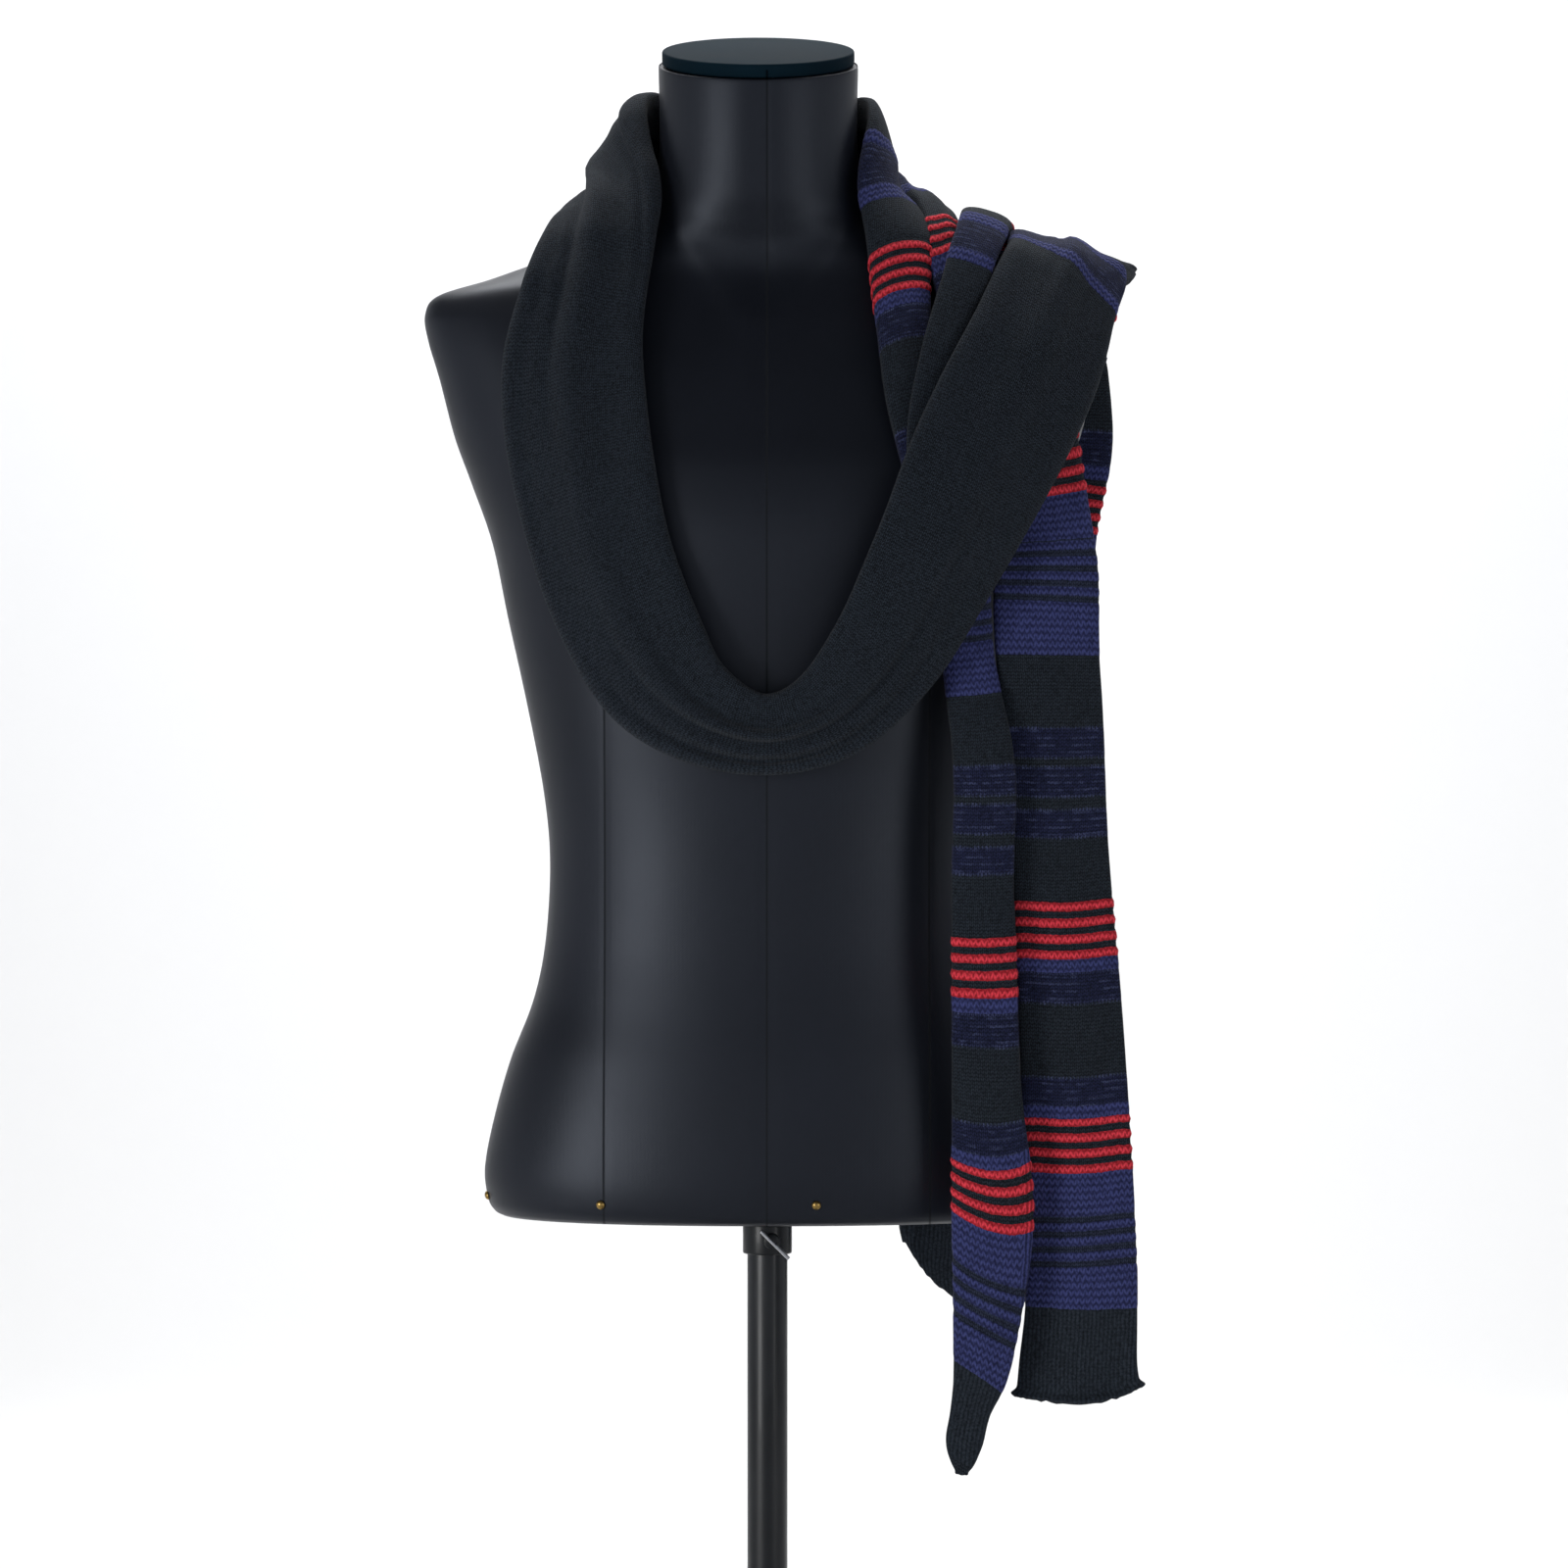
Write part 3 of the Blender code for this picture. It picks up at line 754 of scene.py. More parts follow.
def tack_points(number):
    """A dome r = R cos a, h = H sin a, set on the form and facing out of it."""
    turn = 2 * math.pi * (number + TACK_TURN) / TACKS
    edge = TACK_RING.half * math.cos(turn), TACK_RING.back * math.sin(turn), TACK_LEVEL
    spot = settle(np.array(edge), GAP, 1.0)
    out = form_gap(spot)[1]
    side = unit(np.cross([0, 0, 1], out))
    up = np.cross(out, side)
    rise = np.linspace(0, math.pi / 2, 8)
    dome = np.stack([TACK_RADIUS * np.cos(rise), TACK_HEIGHT * np.sin(rise)], axis=-1)
    flat = turned_points(np.concatenate([[(0, 0)], dome]), 24)
    return flat[..., :1] * side + flat[..., 1:2] * up + flat[..., 2:] * out + spot


for number in range(TACKS):
    name = f"tack_head_{number + 1}"
    head = add_piece(name, grid_mesh(name, placed(tack_points(number)), around=True), brass)
    stand_in(head, "brass", f"tack_{number + 1}")

# %% [markdown]
# ## The knitted pattern
#
# Both ends of the scarf carry the same bands, counted from the hem. Rib is the black hem;
# moss is the navy ground of staggered bumps; lined is moss crossed by black lines; red is four
# raised red stripes with sunken black between; dim is navy and black rows mixed; plain is
# black stocking stitch. Everything past the last band is plain. The bands could be cut into the
# cloth as separate strips, but knitting has no joints there, so they are one list of lengths,
# which the mesh reads for its relief and the finish reads for its colours.

# %% Bands from the hem up
WALE = 3.6  # mm, a column of stitches
COURSE = 2.4  # mm, a row of stitches
Band = namedtuple("Band", "kind length")
BANDS = [
    Band("rib", 55.4),
    Band("moss", 26.5),
    Band("lined", 34.6),
    Band("moss", 27.1),
    Band("red", 35.9),
    Band("moss", 8.2),
    Band("dim", 18.9),
    Band("plain", 46.0),
    Band("dim", 19.5),
    Band("moss", 8.8),
    Band("red", 38.4),
    Band("plain", 39.7),
    Band("dim", 17.6),
    Band("plain", 8.8),
    Band("dim", 18.9),
    Band("plain", 6.3),
    Band("dim", 18.9),
    Band("plain", 47.3),
    Band("moss", 34.6),
    Band("lined", 39.7),
    Band("moss", 28.4),
    Band("red", 41.0),
    Band("moss", 10.0),
    Band("dim", 24.0),
    Band("plain", 58.0),
    Band("dim", 24.0),
    Band("moss", 11.0),
    Band("red", 41.0),
    Band("plain", 38.0),
    Band("moss", 14.5),
    Band("dim", 28.0),
    Band("moss", 10.0),
]
STARTS = np.concatenate([[0.0], np.cumsum([band.length for band in BANDS])])
print("pattern:", len(BANDS), "bands over", round(STARTS[-1]), "mm")

# %% The knitting's relief
RED_PITCH, RED_SHARE = 10.3, 0.57  # mm from stripe to stripe, and the share that is red
LINE_PITCH, LINE_SHARE = 9.6, 0.5  # the same for the black lines on the moss
RED_RAISED, RED_SUNK, LINE_SUNK = 0.95, 0.25, 0.35
GROUNDS = (("moss", 0.3), ("lined", 0.3), ("dim", 0.12))  # how far each stands out


def bands_of(kind):
    """The start and end, in millimetres from the hem, of each band of a kind."""
    return [(STARTS[k], STARTS[k + 1]) for k, band in enumerate(BANDS) if band.kind == kind]


def raised(rows):
    """How far the knitting stands out, in millimetres, at a distance from the hem.

    A red stripe is a round ridge, |sin| of its place in the stripe; moss is a little proud of
    the plain ground, and the black between red stripes is a little sunk.
    """
    out = np.zeros_like(rows)
    for low, high in bands_of("red"):
        inside = (rows > low) & (rows < high)
        place = (rows - low) % RED_PITCH / (RED_PITCH * RED_SHARE)
        ridge = np.sin(math.pi * np.clip(place, 0, 1)) ** 0.7
        out = np.where(inside, np.where(place < 1, ridge, -RED_SUNK) * RED_RAISED, out)
    for kind, height in GROUNDS:
        for low, high in bands_of(kind):
            edge = np.clip(np.minimum(rows - low, high - rows) / COURSE, 0, 1)
            out = out + height * edge
    for low, high in bands_of("lined"):
        inside = (rows > low) & (rows < high)
        out = out - LINE_SUNK * inside * ((rows - low) % LINE_PITCH < LINE_PITCH * LINE_SHARE)
    return out


# %% [markdown]
# ## The knit's finish
#
# Each stitch could be a loop of yarn, but the scarf has tens of thousands, so the stitches are
# bump and painted light. Each piece has a pattern map in metres: u across the cloth, v from the
# hem, both swayed a little by noise, as hand knitting is. Stocking stitch is columns of V shapes,
# whose rows slant with the distance from the column's middle. Moss is rows of short slanting
# strands: a cosine up the rows, moved half a repeat by a zigzag across each stitch, and
# strongest midway along each strand. The yarn is heathered, so each bump differs, and each
# stitch's height is painted in its colour: painted shade in its hollows, painted highlight on
# its top. The edge stitches of the narrow fold are plain upright columns.


# %% Where the bands lie, as wires
DASH = 2.4  # mm, a light stitch and the gap after it


def band_share(v, kind):
    """1 inside the bands of a kind and 0 outside them."""
    total = 0.0
    for low, high in bands_of(kind):
        total = (v > low) * (v < high) + total
    return total


def band_place(v, kind):
    """The distance from the start of the band, inside the bands of a kind."""
    total = 0.0
    for low, high in bands_of(kind):
        total = (v > low) * (v < high) * (v - low) + total
    return total


def band_ends(v, kind):
    """1 within half a dash of either end of the bands of a kind."""
    total = 0.0
    for low, high in bands_of(kind):
        total = (abs(v - low) < DASH / 2) + (abs(v - high) < DASH / 2) + total
    return total


# %% Stitches, as wires
JERSEY_WALE, JERSEY_COURSE = 2.6, 2.2  # mm: the finer stitches of the plain ground
RIB = 2.7  # mm, a rib of the hem
EDGE_STITCH = 2.9  # mm, an upright column of the edge


def zigzag(u, repeat):
    """0 in the middle of each repeat across the cloth, rising evenly to 1 at its ends."""
    return abs((u / repeat) % 1.0 - 0.5) * 2


def columns(u, repeat, swing, middle):
    """Upright columns: a cosine across the cloth, about a middle height."""
    return (u * (2 * math.pi / repeat)).cos() * swing + middle


def stocking_stitch(u, v):
    """Columns of V shapes: sine up the slanting row times sine across the leg."""
    leg = zigzag(u, JERSEY_WALE)
    slant = (v / JERSEY_COURSE + leg * 0.55) % 1.0
    return ((slant * math.pi).sin() * (leg * math.pi).sin() + 0.001) ** 0.7


def moss_stitch(u, row):
    """Staggered strands: cosine up the rows, moved by the zigzag, times |sine| across."""
    leg = zigzag(u, WALE)
    strand = abs((u * (2 * math.pi / WALE)).sin()) * 0.45 + 0.55
    return (((row + leg / 2) * (2 * math.pi)).cos() * 0.4 + 0.5) * strand + 0.1


# %% The knit's finish
# Each yarn as two colours: painted shade in the stitches' hollows, painted highlight on their
# tops.
Yarn = namedtuple("Yarn", "hollow light")
BLACK = Yarn(colour(2, 3, 4), colour(48, 55, 64))
NAVY = Yarn(colour(16, 18, 38), colour(70, 76, 130))
DIM = Yarn(colour(5, 6, 12), colour(42, 47, 78))
RED = Yarn(colour(112, 7, 14), colour(250, 72, 86))
DASHES = Yarn(colour(10, 12, 24), colour(88, 96, 136))


def knit_finish(name, edge_from=None):
    """The bands in wool. edge_from is how far from the middle its outer edge stitches begin.

    The tone is the stitch's height, as painted shade and painted highlight, times the yarn's
    fine noise, times slow patches of wear.
    """
    made, shader = new_finish(
        name, Roughness=0.9, Sheen_Weight=0.06, Sheen_Roughness=0.4, Specular_IOR_Level=0.12
    )
    start = Wire(made.node_tree, None)
    place = start.node("ShaderNodeTexCoord", output=3)
    heather, patch = place.noise(560.0, 3.0), place.noise(38.0, 3.0)
    pattern = start.node("ShaderNodeUVMap", uv_map="knit")
    u = pattern.part("X") / MM + (place.noise(230.0) - 0.5) * 1.8
    v = pattern.part("Y") / MM + (place.noise(290.0) - 0.5) * 1.3

    in_red, in_lined, in_moss = (band_share(v, kind) for kind in ("red", "lined", "moss"))
    in_dim, in_rib = band_share(v, "dim"), band_share(v, "rib")
    stripe = (band_place(v, "red") % RED_PITCH) / (RED_PITCH * RED_SHARE)
    red = in_red * (stripe < 1.0)
    line = abs((band_place(v, "lined") % LINE_PITCH) / (LINE_PITCH * LINE_SHARE) - 0.5)
    line = in_lined * (1 - line.rise(0.3, 0.6)) * 0.85
    navy = in_moss + in_lined - line

    stocking = stocking_stitch(u, v)
    stripe_rows = stripe * (RED_PITCH * RED_SHARE / 2 / COURSE) + 0.2
    moss = moss_stitch(u, in_red.choose(v / (2 * COURSE), stripe_rows))
    if edge_from is not None:
        edge = (u < -edge_from) * (1 - in_rib)
        moss = edge.choose(moss, columns(u, EDGE_STITCH, 0.35, 0.5))
    rib = columns(u, RIB, 0.2, 0.4) + stocking * 0.3
    bumpy = navy + red
    height = bumpy.choose(in_rib.choose(stocking, rib), moss)
    # The stitch's height becomes its light: painted shade in the hollows, painted highlight on
    # top.
    light = height * 0.95 + 0.1
    # Red stripes: a sine across each stripe darkens its edges, painted shade on the round ridge.
    light = red.choose(light, light * ((stripe * math.pi).sin() * 0.3 + 0.75))
    tone = light * (heather * 2.4 - 0.2) * (patch * 0.35 + 0.82)

    worn = place.noise(120.0).rise(0.42, 0.6)
    faint = ((v / (2 * COURSE)) % 1.0 < 0.34) * worn * 0.5
    dash = in_dim * faint + band_ends(v, "dim") * ((u / DASH) % 1.0 < 0.62) * (worn * 0.4 + 0.25)
    base = in_dim.mix(tone.mix(*BLACK), tone.mix(*DIM))
    base = dash.mix(base, tone.mix(*DASHES))
    base = navy.mix(base, tone.mix(*NAVY))
    base = red.mix(base, tone.mix(*RED))
    depth = (height + heather * 0.5) * (bumpy * 0.35 + 0.4)
    connect(shader, Base_Color=base, Normal=depth.relief(MM))
    return made


knit, edged_knit = knit_finish("knit"), knit_finish("edged_knit", 20.0)
print("knit:", len(knit.node_tree.nodes), "nodes")

# %% [markdown]
# ## Cloth carried along a path
#
# The scarf is one strip, folded lengthwise and laid over the form. Cloth simulation could drop
# it there, but a wound scarf that was arranged by hand hardly ever falls the same way twice.
# So each stretch is drawn as a dresser would lay it: an oval with a slit down its hidden side,
# carried along a path. Its rows say where the middle lies, how wide and thick the fold is, how
# high it lies above the form, and how much lower one edge lies than the middle: its lean. The
# other edge is lowered half as much. The points are settled on the form, then lifted by the
# fold's thickness, and then take their creases and the knitting's own relief.

# %% The fold's section
SLIT = 16.0  # half the slit's angle, in degrees
CLEAR = 2.5  # mm, the least distance of the cloth's face above the form
SECTION_POINTS = 33
EDGE_ROUND, FACE_ROUND = 0.8, 0.62  # powers of the oval, across and through its thickness
ClothRow = namedtuple("ClothRow", "x y h half bulge lift hug face lean pleat", defaults=(0, 1))
Pleats = namedtuple("Pleats", "waves depth")
SMOOTH = Pleats(0.0, 0.0)


def oval_section():
    """Across (-1 to 1) and outward (-1 to 1) places round an oval with a slit at its back."""
    turn = np.radians(np.linspace(SLIT - 90, 270 - SLIT, SECTION_POINTS))[::-1]
    return powered(np.cos(turn), EDGE_ROUND), powered(np.sin(turn), FACE_ROUND)


def fold_points(rows, pleats):
    """The oval carried along the rows' path over the form, with its long pleats.

    Where hug is 1 the face looks straight out of the form, and where it is 0 the way that face
    says, in degrees from the front. The pleats are a cosine across the face.
    """
    middle, half, bulge = rows[:, :3], rows[:, 3, None], rows[:, 4, None]
    lift, hug, face = rows[:, 5, None], rows[:, 6, None], np.radians(rows[:, 7])
    lean = rows[:, 8, None, None]
    middle = settle(middle, lift, hug)
    free = np.stack([np.sin(face), -np.cos(face), 0 * face], axis=-1)
    out = unit(hug * form_gap(middle)[1] + (1 - hug) * free)
    along = unit(np.gradient(middle, axis=0))
    side = unit(np.cross(along, out))
    across, outward = oval_section()
    flat = middle[:, None] + side[:, None] * (half * across)[..., None]
    tip = lean * across[:, None]
    flat = settle(flat, lift[:, None] + np.minimum(tip, -tip / 2), hug[:, None])
    lifted = unit(hug[:, None] * form_gap(flat)[1] + (1 - hug)[:, None] * out[:, None])
    wave = pleats.depth * rows[:, 9, None] * np.cos(math.pi * pleats.waves * across)
    wave = wave * np.clip(outward, 0, 1) ** 2
    points = flat + lifted * (bulge * outward + wave)[..., None]
    gap, away = form_gap(points)
    return points + away * np.maximum(0.0, CLEAR - gap)


# %% Creases
Crease = namedtuple("Crease", "start end from_side to_side width depth")


def creased(grid, creases, row):
    """Soft troughs and ridges along the fold's outer face.

    Each runs from a start to an end, by row number, between two places across the face
    (-1 to 1): a bump across the cloth, times a sine along it that dies away at both ends.
    """
    fine, coarse = np.linspace(0, 1, grid.shape[1]), np.linspace(0, 1, SECTION_POINTS)
    across, outward = (np.interp(fine, coarse, part) for part in oval_section())
    face = np.clip(outward * 3, 0, 1)
    push = np.zeros(grid.shape[:2])
    for crease in creases:
        place = np.clip((row - crease.start) / (crease.end - crease.start), 0, 1)
        fade = np.sin(math.pi * place) ** 0.8
        line = crease.from_side + (crease.to_side - crease.from_side) * place
        push += crease.depth * fade[:, None] * bump(across - line[:, None], crease.width) * face
    return grid + normals_of(grid) * push[..., None]


# %% The place in the pattern
Drift = namedtuple("Drift", "at tilt shift sag", defaults=(0,))
EVEN = [Drift(0, 0.0, 0.0)]
SAG_WIDE, SAG_REACH = 20.0, 1.3  # mm from the middle, and how far out the sag still grows


def lengths(points):
    """Distances along a line of points, from its first."""
    steps = np.linalg.norm(np.diff(points, axis=0), axis=-1)
    return np.concatenate([[0.0], np.cumsum(steps)])


def pattern_map(grid, offset, stretch, drifts):
    """The place in the pattern of each point, in millimetres.

    u goes round the fold from its front's middle, and v along it from the hem, where the path
    ends: v = length - tilt * u + shift - sag * u^2. The drifts give these at distances from
    the hem, because no hand knits or hangs a row quite level.
    """
    middle = grid.shape[1] // 2
    path = lengths(grid[:, middle])
    around = np.linalg.norm(np.diff(grid, axis=1), axis=-1)
    u = np.concatenate([np.zeros((len(grid), 1)), np.cumsum(around, axis=1)], axis=1)
    u = u - u[:, middle : middle + 1]
    v = (path[-1] - path) * stretch + offset
    at, *parts = np.array(drifts, float).T
    tilt, shift, sag = (np.interp(v, at, part)[:, None] for part in parts)
    bow = np.clip(u / SAG_WIDE, -SAG_REACH, SAG_REACH) ** 2
    return u, v[:, None] - u * tilt + shift - sag * bow


# %% Hems
LIP_AT, LIP_WIDE = 4.0, 3.6  # mm from the hem's edge to its rolled lip, and the lip's width
LOOPS = 4.6  # mm from one cast-off loop to the next
CORNER_REACH, LOOP_REACH = 90.0, 20.0  # mm up the cloth that a corner and a loop draw on
FLARE_AT = 5.0
Hem = namedtuple("Hem", "inner outer droop lip flare")
NO_HEM = Hem(0, 0, 0, 0, 0)  # a stretch that ends inside the scarf


def hemmed(grid, u, hem, half):
    """Draws up the hem's inner and outer corners, lowers its middle, and rolls and flares it.

    Every move is a power of the nearness to the hem times a power of the place across it. The
    lip is a bump along the normals, broken by a cosine for the cast-off loops.
    """
    from_hem = lengths(grid[:, grid.shape[1] // 2])[::-1][:, None]
    near = np.clip(1 - from_hem / CORNER_REACH, 0, 1)
    close = np.clip(1 - from_hem / LOOP_REACH, 0, 1)
    inward = np.clip((grid[..., 0].mean(1, keepdims=True) - grid[..., 0]) / half, -1, 1)
    face = 1 - inward**6
    loops = np.cos(2 * math.pi * u / LOOPS) * face
    lip = hem.lip * bump(from_hem - LIP_AT, LIP_WIDE) * (0.2 + 0.8 * face + 0.25 * loops)
    grid = grid + normals_of(grid) * lip[..., None]
    grid[..., 2] += hem.inner * near * np.clip(inward, 0, 1) ** 3
    grid[..., 2] += hem.outer * near * np.clip(-inward, 0, 1) ** 3
    grid[..., 2] -= hem.droop * near**3 * (1 - inward**2)
    grid[..., 2] -= 0.3 * hem.lip * loops * close**4
    grid[..., 0] -= hem.flare * bump(from_hem - FLARE_AT, FLARE_AT) * inward
    return grid


# %% A stretch of the scarf
WALL = 2.4  # mm
Grain = namedtuple("Grain", "steps along around")  # rows for each one given, then finer ones


def cloth(name, rows, grain, finish, pleats=SMOOTH, creases=(), offset=0.0, stretch=1.0,
          drifts=EVEN, hem=NO_HEM, part=None):
    """One stretch of the scarf, as a wall of knitting in millimetres, moved into the frame.

    part is the first and last row of the stretch, when it is a part of a longer path. offset
    is its end's distance from the hem in the pattern, and stretch the pattern's scale there.
    """
    first, last = part or (0, len(rows) - 1)
    grid = fold_points(smooth_rows(rows, grain.steps), pleats)
    grid = grid[first * grain.steps : last * grain.steps + 1]
    grid = finer(grid, grain.along, grain.around)
    grid = creased(grid, creases, np.linspace(first, last, len(grid)))
    u, v = pattern_map(grid, offset, stretch, drifts)
    grid = hemmed(grid, u, hem, rows[-2].half)
    grid = grid + normals_of(grid) * raised(v)[..., None]
    mesh = grid_mesh(name, placed(grid), np.stack([u, v], axis=-1) * MM)
    made = add_piece(name, mesh, finish)
    wall = made.modifiers.new("wall", "SOLIDIFY")
    wall.thickness = WALL * MM
    wall.offset = -1.0
    print(name, grid.shape[0], "x", grid.shape[1], "points,", round(lengths(grid[:, 0])[-1]), "mm")
    return made


# %% [markdown]
# ## The loop round the neck
#
# It stands up behind the neck as a collar, falls down the chest in a broad band, turns at the
# bottom in a tight curve and climbs to the shoulder as a flat panel. Collar, band and panel
# could be pieces of their own, but the scarf has no joints, so one path runs on from the nape,
# over the shoulder and down the back. Its first part is the loop, and the back end takes the
# rest. Its creases are drawn, bunched where the loop turns, as thick knitting folds.

# %% The path
PATH = [
    ClothRow(56, 58, 690, 45, 7, 13, 1.0, 0, 4, 0),
    ClothRow(38, 68, 693, 46, 9, 14, 1.0, 0, 5),
    ClothRow(-6, 80, 698, 48, 9, 16, 1.0, 0, 7),
    ClothRow(-66, 56, 702, 47, 11, 26, 1.0, 0, 15),
    ClothRow(-98, 16, 704, 45, 13, 37, 0.9, 0, 22),
    ClothRow(-99, -28, 665, 39, 11, 25, 0.9, 0, 12),
    ClothRow(-116, -64, 610, 41, 10, 18, 0.95, 0),
    ClothRow(-127, -95, 555, 48, 9, 13, 1.0, 0),
    ClothRow(-121, -110, 490, 50, 9, 13, 1.0, 0),
    ClothRow(-105, -118, 424, 48, 9, 14, 1.0, 0),
    ClothRow(-76, -124, 366, 43, 9, 18, 0.9, 0),
    ClothRow(-42, -130, 335, 33, 9, 24, 0.8, 0),
    ClothRow(0, -134, 322, 26, 9, 28, 0.7, 0),
    ClothRow(42, -136, 336, 31, 9, 30, 0.7, 0),
    ClothRow(78, -136, 376, 38, 8, 34, 0.8, 0),
    ClothRow(108, -132, 432, 44, 8, 35, 0.85, 0),
    ClothRow(140, -122, 497, 51, 8, 36, 0.9, 0),
    ClothRow(169, -92, 562, 50, 8, 36, 0.9, 0),
    ClothRow(189, -52, 616, 44, 8, 27, 0.95, 0, -2),
    ClothRow(204, -8, 642, 43, 9, 20, 1.0, 0, -3, 0.6),
    ClothRow(208, 26, 641, 44, 9, 19, 1.0, 180, -2, 0),
    ClothRow(203, 48, 634, 48, 9, 19, 0.9, 180, 0, 0.3),
    ClothRow(194, 72, 615, 53, 9, 18, 0.3, 180, 0, 0.6),
    ClothRow(184, 93, 588, 57, 8, 16, 0.1, 180),
    ClothRow(182, 108, 535, 55, 8, 16, 0.0, 180),
    ClothRow(176, 116, 470, 51, 8, 16, 0.0, 180),
    ClothRow(171, 121, 410, 51, 8, 16, 0.0, 180),
    ClothRow(165, 125, 340, 56, 8, 16, 0.0, 180),
    ClothRow(163, 126, 270, 60, 8, 16, 0.0, 180),
    ClothRow(163, 126, 200, 63, 8, 16, 0.0, 180),
    ClothRow(163, 127, 110, 67, 8, 16, 0.0, 180),
    ClothRow(163, 127, 20, 70, 8, 16, 0.0, 180),
    ClothRow(166, 127, -68, 72, 8, 16, 0.0, 180),
]
OVER_SHOULDER = 20  # the row where the loop ends and the back end begins
print("path:", len(PATH), "rows, crossing the shoulder at row", OVER_SHOULDER)

# %% The loop
LOOP_CREASES = [
    Crease(3.5, 6.5, -0.70, -0.88, 0.09, -3.0),
    Crease(3.9, 7.8, 0.42, 0.25, 0.10, -3.5),
    Crease(4.2, 9.0, -0.10, -0.05, 0.16, 1.8),
    Crease(5.2, 9.4, 0.62, 0.72, 0.12, -1.5),
    Crease(9.4, 15.1, 0.66, 0.62, 0.07, -4.0),
    Crease(9.7, 14.7, 0.45, 0.42, 0.08, 1.6),
    Crease(9.0, 15.8, 0.26, 0.20, 0.07, -4.5),
    Crease(9.7, 14.3, 0.02, 0.02, 0.09, 2.0),
    Crease(8.6, 15.1, -0.30, -0.15, 0.07, -4.0),
    Crease(14.3, 19.6, -0.30, -0.10, 0.16, 1.4),
    Crease(15.1, 20.0, 0.25, 0.35, 0.14, -1.2),
    Crease(17.3, 20.0, -0.25, -0.15, 0.09, -2.4),
]
LOOP_DRIFTS = [
    Drift(774, 0.0, 20),
    Drift(800, 0.2, 11),
    Drift(830, 0.36, 0),
    Drift(900, 0.3, 0),
    Drift(1000, 0.0, 0),
]
loop = cloth(
    "scarf_loop", PATH, Grain(4, 6, 3), knit, Pleats(2.0, 2.0), LOOP_CREASES, offset=774.0,
    drifts=LOOP_DRIFTS, part=(0, OVER_SHOULDER),
)

# %% [markdown]
# ## The rolled edge beside the panel
#
# The strip is wider than the panel, and its spare width rolls up beside it, from the shoulder
# blade over the shoulder to the loop's inner edge. Wider rows could carry it in the panel
# itself, but a roll turns under, which one oval can't do. It is a narrow fold of its own. Its
# pattern is counted back from its black front end, so bands come in behind the shoulder.

# %% The roll
ROLL = [
    ClothRow(149, 82, 606, 6, 3, 14, 0.3, 180),
    ClothRow(148, 70, 626, 12, 6, 20, 0.6, 180),
    ClothRow(147, 50, 645, 16, 8, 24, 0.9, 180),
    ClothRow(145, 26, 655, 18, 8, 23, 1.0, 180),
    ClothRow(146, 2, 662, 18, 8, 23, 1.0, 0),
    ClothRow(139, -30, 648, 17, 8, 26, 0.9, 0),
    ClothRow(125, -62, 608, 15, 6, 28, 0.9, 0),
    ClothRow(107, -88, 563, 11, 5, 28, 0.9, 0),
    ClothRow(96, -105, 524, 8, 4, 26, 0.9, 0),
    ClothRow(90, -111, 490, 5, 4, 26, 0.9, 0),
    ClothRow(84, -116, 455, 4, 3, 24, 0.9, 0),
]
roll = cloth("scarf_roll", ROLL, Grain(4, 6, 2), knit, offset=1065.0, stretch=-1.0)

# %% [markdown]
# ## The front end in two folds
#
# The front end hangs in a narrow inner fold and a wider outer one. A single wide sheet could
# be pleated into both, but they part on the way down and swing apart, so each has its own
# path. Both show the same bands, the inner one hanging a little lower, and its hem drawn to a
# point where the corner hangs. The drifts tilt and bow their rows of stitches as they hang.

# %% The narrow fold
INNER = [
    ClothRow(18, 76, 716, 22, 4, 12, 1.0, 0, -2),
    ClothRow(51, 59, 717, 26, 6, 13, 1.0, 0, -4),
    ClothRow(77, 16, 712, 36, 7, 21, 1.0, 0, -10),
    ClothRow(84, -28, 682, 29, 7, 17, 1.0, 0, -5),
    ClothRow(86, -62, 636, 21, 7, 12, 1.0, 0),
    ClothRow(88, -82, 590, 18, 8, 12, 1.0, 0),
    ClothRow(94, -98, 535, 18, 8, 12, 1.0, 0),
    ClothRow(108, -104, 475, 18, 8, 13, 0.9, 0),
    ClothRow(124, -98, 420, 18, 8, 16, 0.5, 5),
    ClothRow(133, -101, 345, 18, 8, 20, 0.0, 5),
    ClothRow(138, -108, 228, 20, 8, 20, 0.0, 0),
    ClothRow(140, -114, 103, 22, 8, 20, 0.0, 0),
    ClothRow(144, -117, 15, 26, 8, 20, 0.0, 0),
    ClothRow(138, -117, -73, 19, 7, 20, 0.0, 0),
    ClothRow(130, -117, -108, 13, 6, 20, 0.0, 0),
    ClothRow(126, -117, -128, 12, 6, 20, 0.0, 0),
    ClothRow(125, -117, -141, 8, 5, 20, 0.0, 0),
    ClothRow(124, -117, -149, 3, 3, 20, 0.0, 0),
]
NARROW_DRIFTS = [
    Drift(0, 0.45, -8),
    Drift(90, 0.4, -9, 0.5),
    Drift(150, 0.25, -13, 4),
    Drift(200, 0.1, -17, 4),
    Drift(250, 0.06, -20, 1),
    Drift(330, 0.0, -26.5, 1),
    Drift(640, 0.0, -21),
    Drift(700, -0.1, -27, -3),
    Drift(760, -0.25, -27, -4),
]
narrow = cloth(
    "scarf_end_narrow", INNER, Grain(4, 10, 2), edged_knit, drifts=NARROW_DRIFTS,
    hem=Hem(0, 0, 0, 0.6, 0),
)

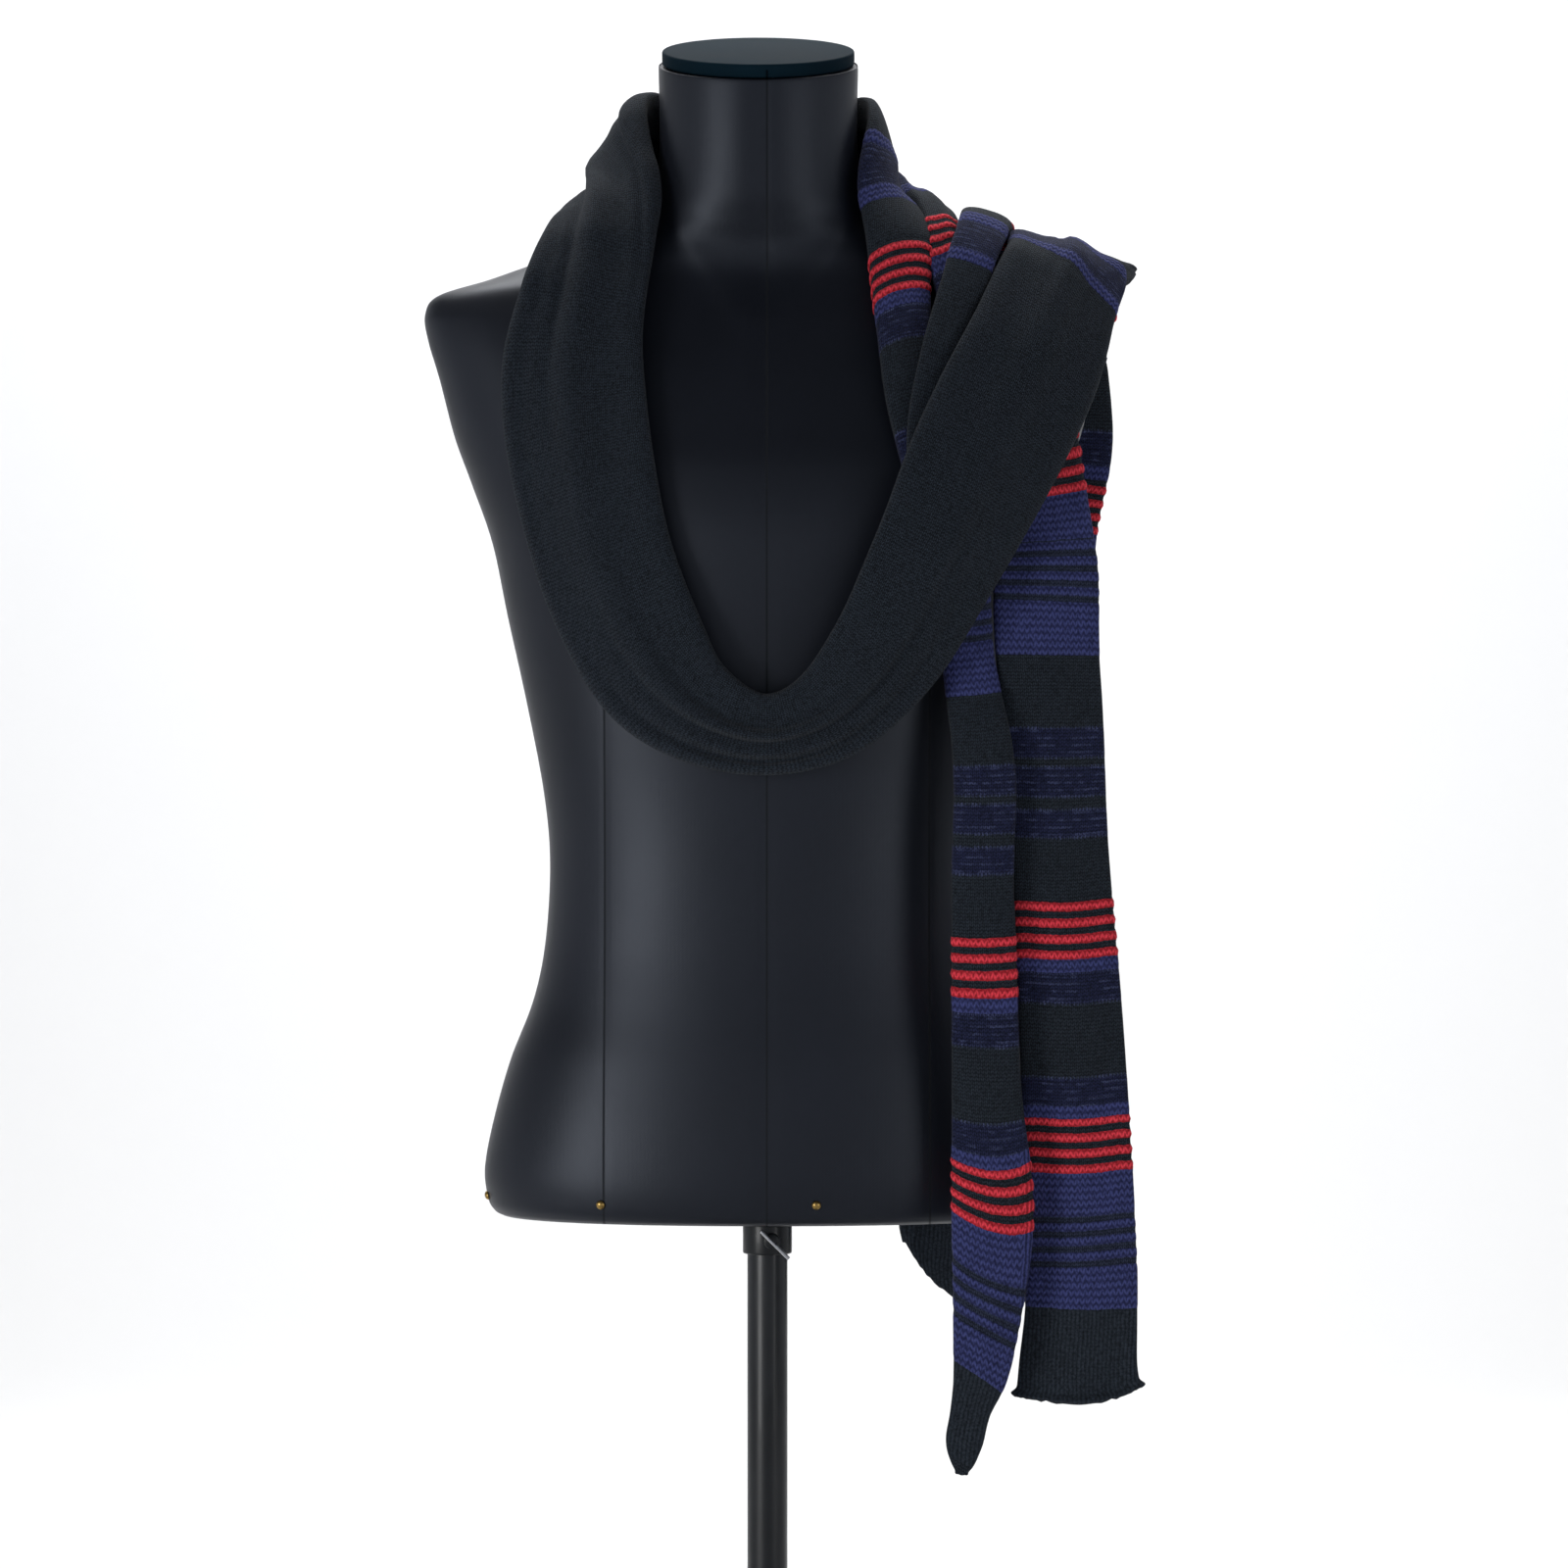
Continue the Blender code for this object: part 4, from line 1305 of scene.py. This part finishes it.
# %% The wide fold
OUTER = [
    ClothRow(20, 80, 674, 16, 4, 12, 1.0, 0),
    ClothRow(56, 62, 670, 22, 7, 13, 1.0, 0),
    ClothRow(94, 40, 690, 20, 8, 30, 1.0, 0),
    ClothRow(104, -6, 668, 16, 8, 23, 1.0, 0),
    ClothRow(116, -42, 622, 15, 7, 12, 1.0, 0),
    ClothRow(152, -66, 572, 37, 7, 12, 0.9, 0),
    ClothRow(173, -84, 512, 40, 7, 15, 0.3, 5),
    ClothRow(181, -86, 450, 37, 7, 18, 0.05, 8),
    ClothRow(181, -87, 370, 34, 7, 20, 0.0, 10),
    ClothRow(188, -90, 253, 32, 7, 20, 0.0, 8),
    ClothRow(196, -92, 127, 34, 7, 20, 0.0, 4),
    ClothRow(202, -94, 0, 35, 7, 20, 0.0, 0),
    ClothRow(202, -94, -45, 36, 7, 20, 0.0, 0),
    ClothRow(200, -94, -82, 38, 7, 20, 0.0, 0),
    ClothRow(200, -94, -102, 40, 7, 20, 0.0, 0),
]
WIDE_DRIFTS = [
    Drift(0, 0.01, -0.5),
    Drift(55, -0.02, -0.8, 0.5),
    Drift(100, -0.02, -1.2, 0.5),
    Drift(150, 0.02, 0.5, 1),
    Drift(185, 0.02, 1.2, 1),
    Drift(215, 0.03, 2.7, 1),
    Drift(262, 0.04, -0.4, 1),
    Drift(290, 0.04, 0.5, 1),
    Drift(325, 0.04, 0.2, 1),
    Drift(450, 0.05, 0),
    Drift(600, 0.0, 1),
    Drift(680, -0.1, -11),
]
wide = cloth(
    "scarf_end_wide", OUTER, Grain(4, 11, 2), knit, Pleats(1.5, 1.2), drifts=WIDE_DRIFTS,
    hem=Hem(0, 5, 4, 2.6, 3),
)

# %% [markdown]
# ## The end thrown back over the shoulder
#
# It hangs down the back in soft flutes, one corner of its hem drawn up. It could start with an
# edge of its own at the shoulder, but that would show as a cut, so it takes up the path where
# the loop leaves it, and its pleats grow from nothing there.

# %% The back end
BACK_DRIFTS = [
    Drift(0, 0.0, 0),
    Drift(560, 0.0, -5),
    Drift(640, 0.0, -5),
    Drift(740, 0.0, 0),
    Drift(790, 0.0, -8),
    Drift(830, 0.0, -30),
]
back = cloth(
    "scarf_end_back", PATH, Grain(4, 8, 3), knit, Pleats(3.0, 4.5), stretch=1.09,
    drifts=BACK_DRIFTS, hem=Hem(45, 0, 0, 2.6, 3), part=(OVER_SHOULDER, len(PATH) - 1),
)

# %% [markdown]
# ## The cloth's cut
#
# A knitter would ask how large each piece of cloth is before it is hung. The scarf could be
# taken whole, but each stretch shows a different share of it, so each stretch is listed with the
# cut of the cloth that is in it: once round the fold, and along the path. Nothing here reads the
# cut; each stretch only stands in for the frame's solids of its nodes.

Stretch = namedtuple("Stretch", "piece slot cut nodes")
LOOP_NODES = ("scarf_nape", "scarf_left_fall", "scarf_right_rise")
STRETCHES = [
    Stretch(loop, "black_knit", (0.19, 1.06), LOOP_NODES),
    Stretch(roll, "black_knit", (0.06, 0.38), ("scarf_shoulder_roll",)),
    Stretch(narrow, "striped_knit", (0.095, 0.9), ("scarf_front_tail_narrow",)),
    Stretch(wide, "striped_knit", (0.135, 0.85), ("scarf_front_tail_wide",)),
    Stretch(back, "striped_knit", (0.26, 0.77), ("scarf_back_tail",)),
]
for stretch in STRETCHES:
    stand_in(stretch.piece, stretch.slot, *stretch.nodes)
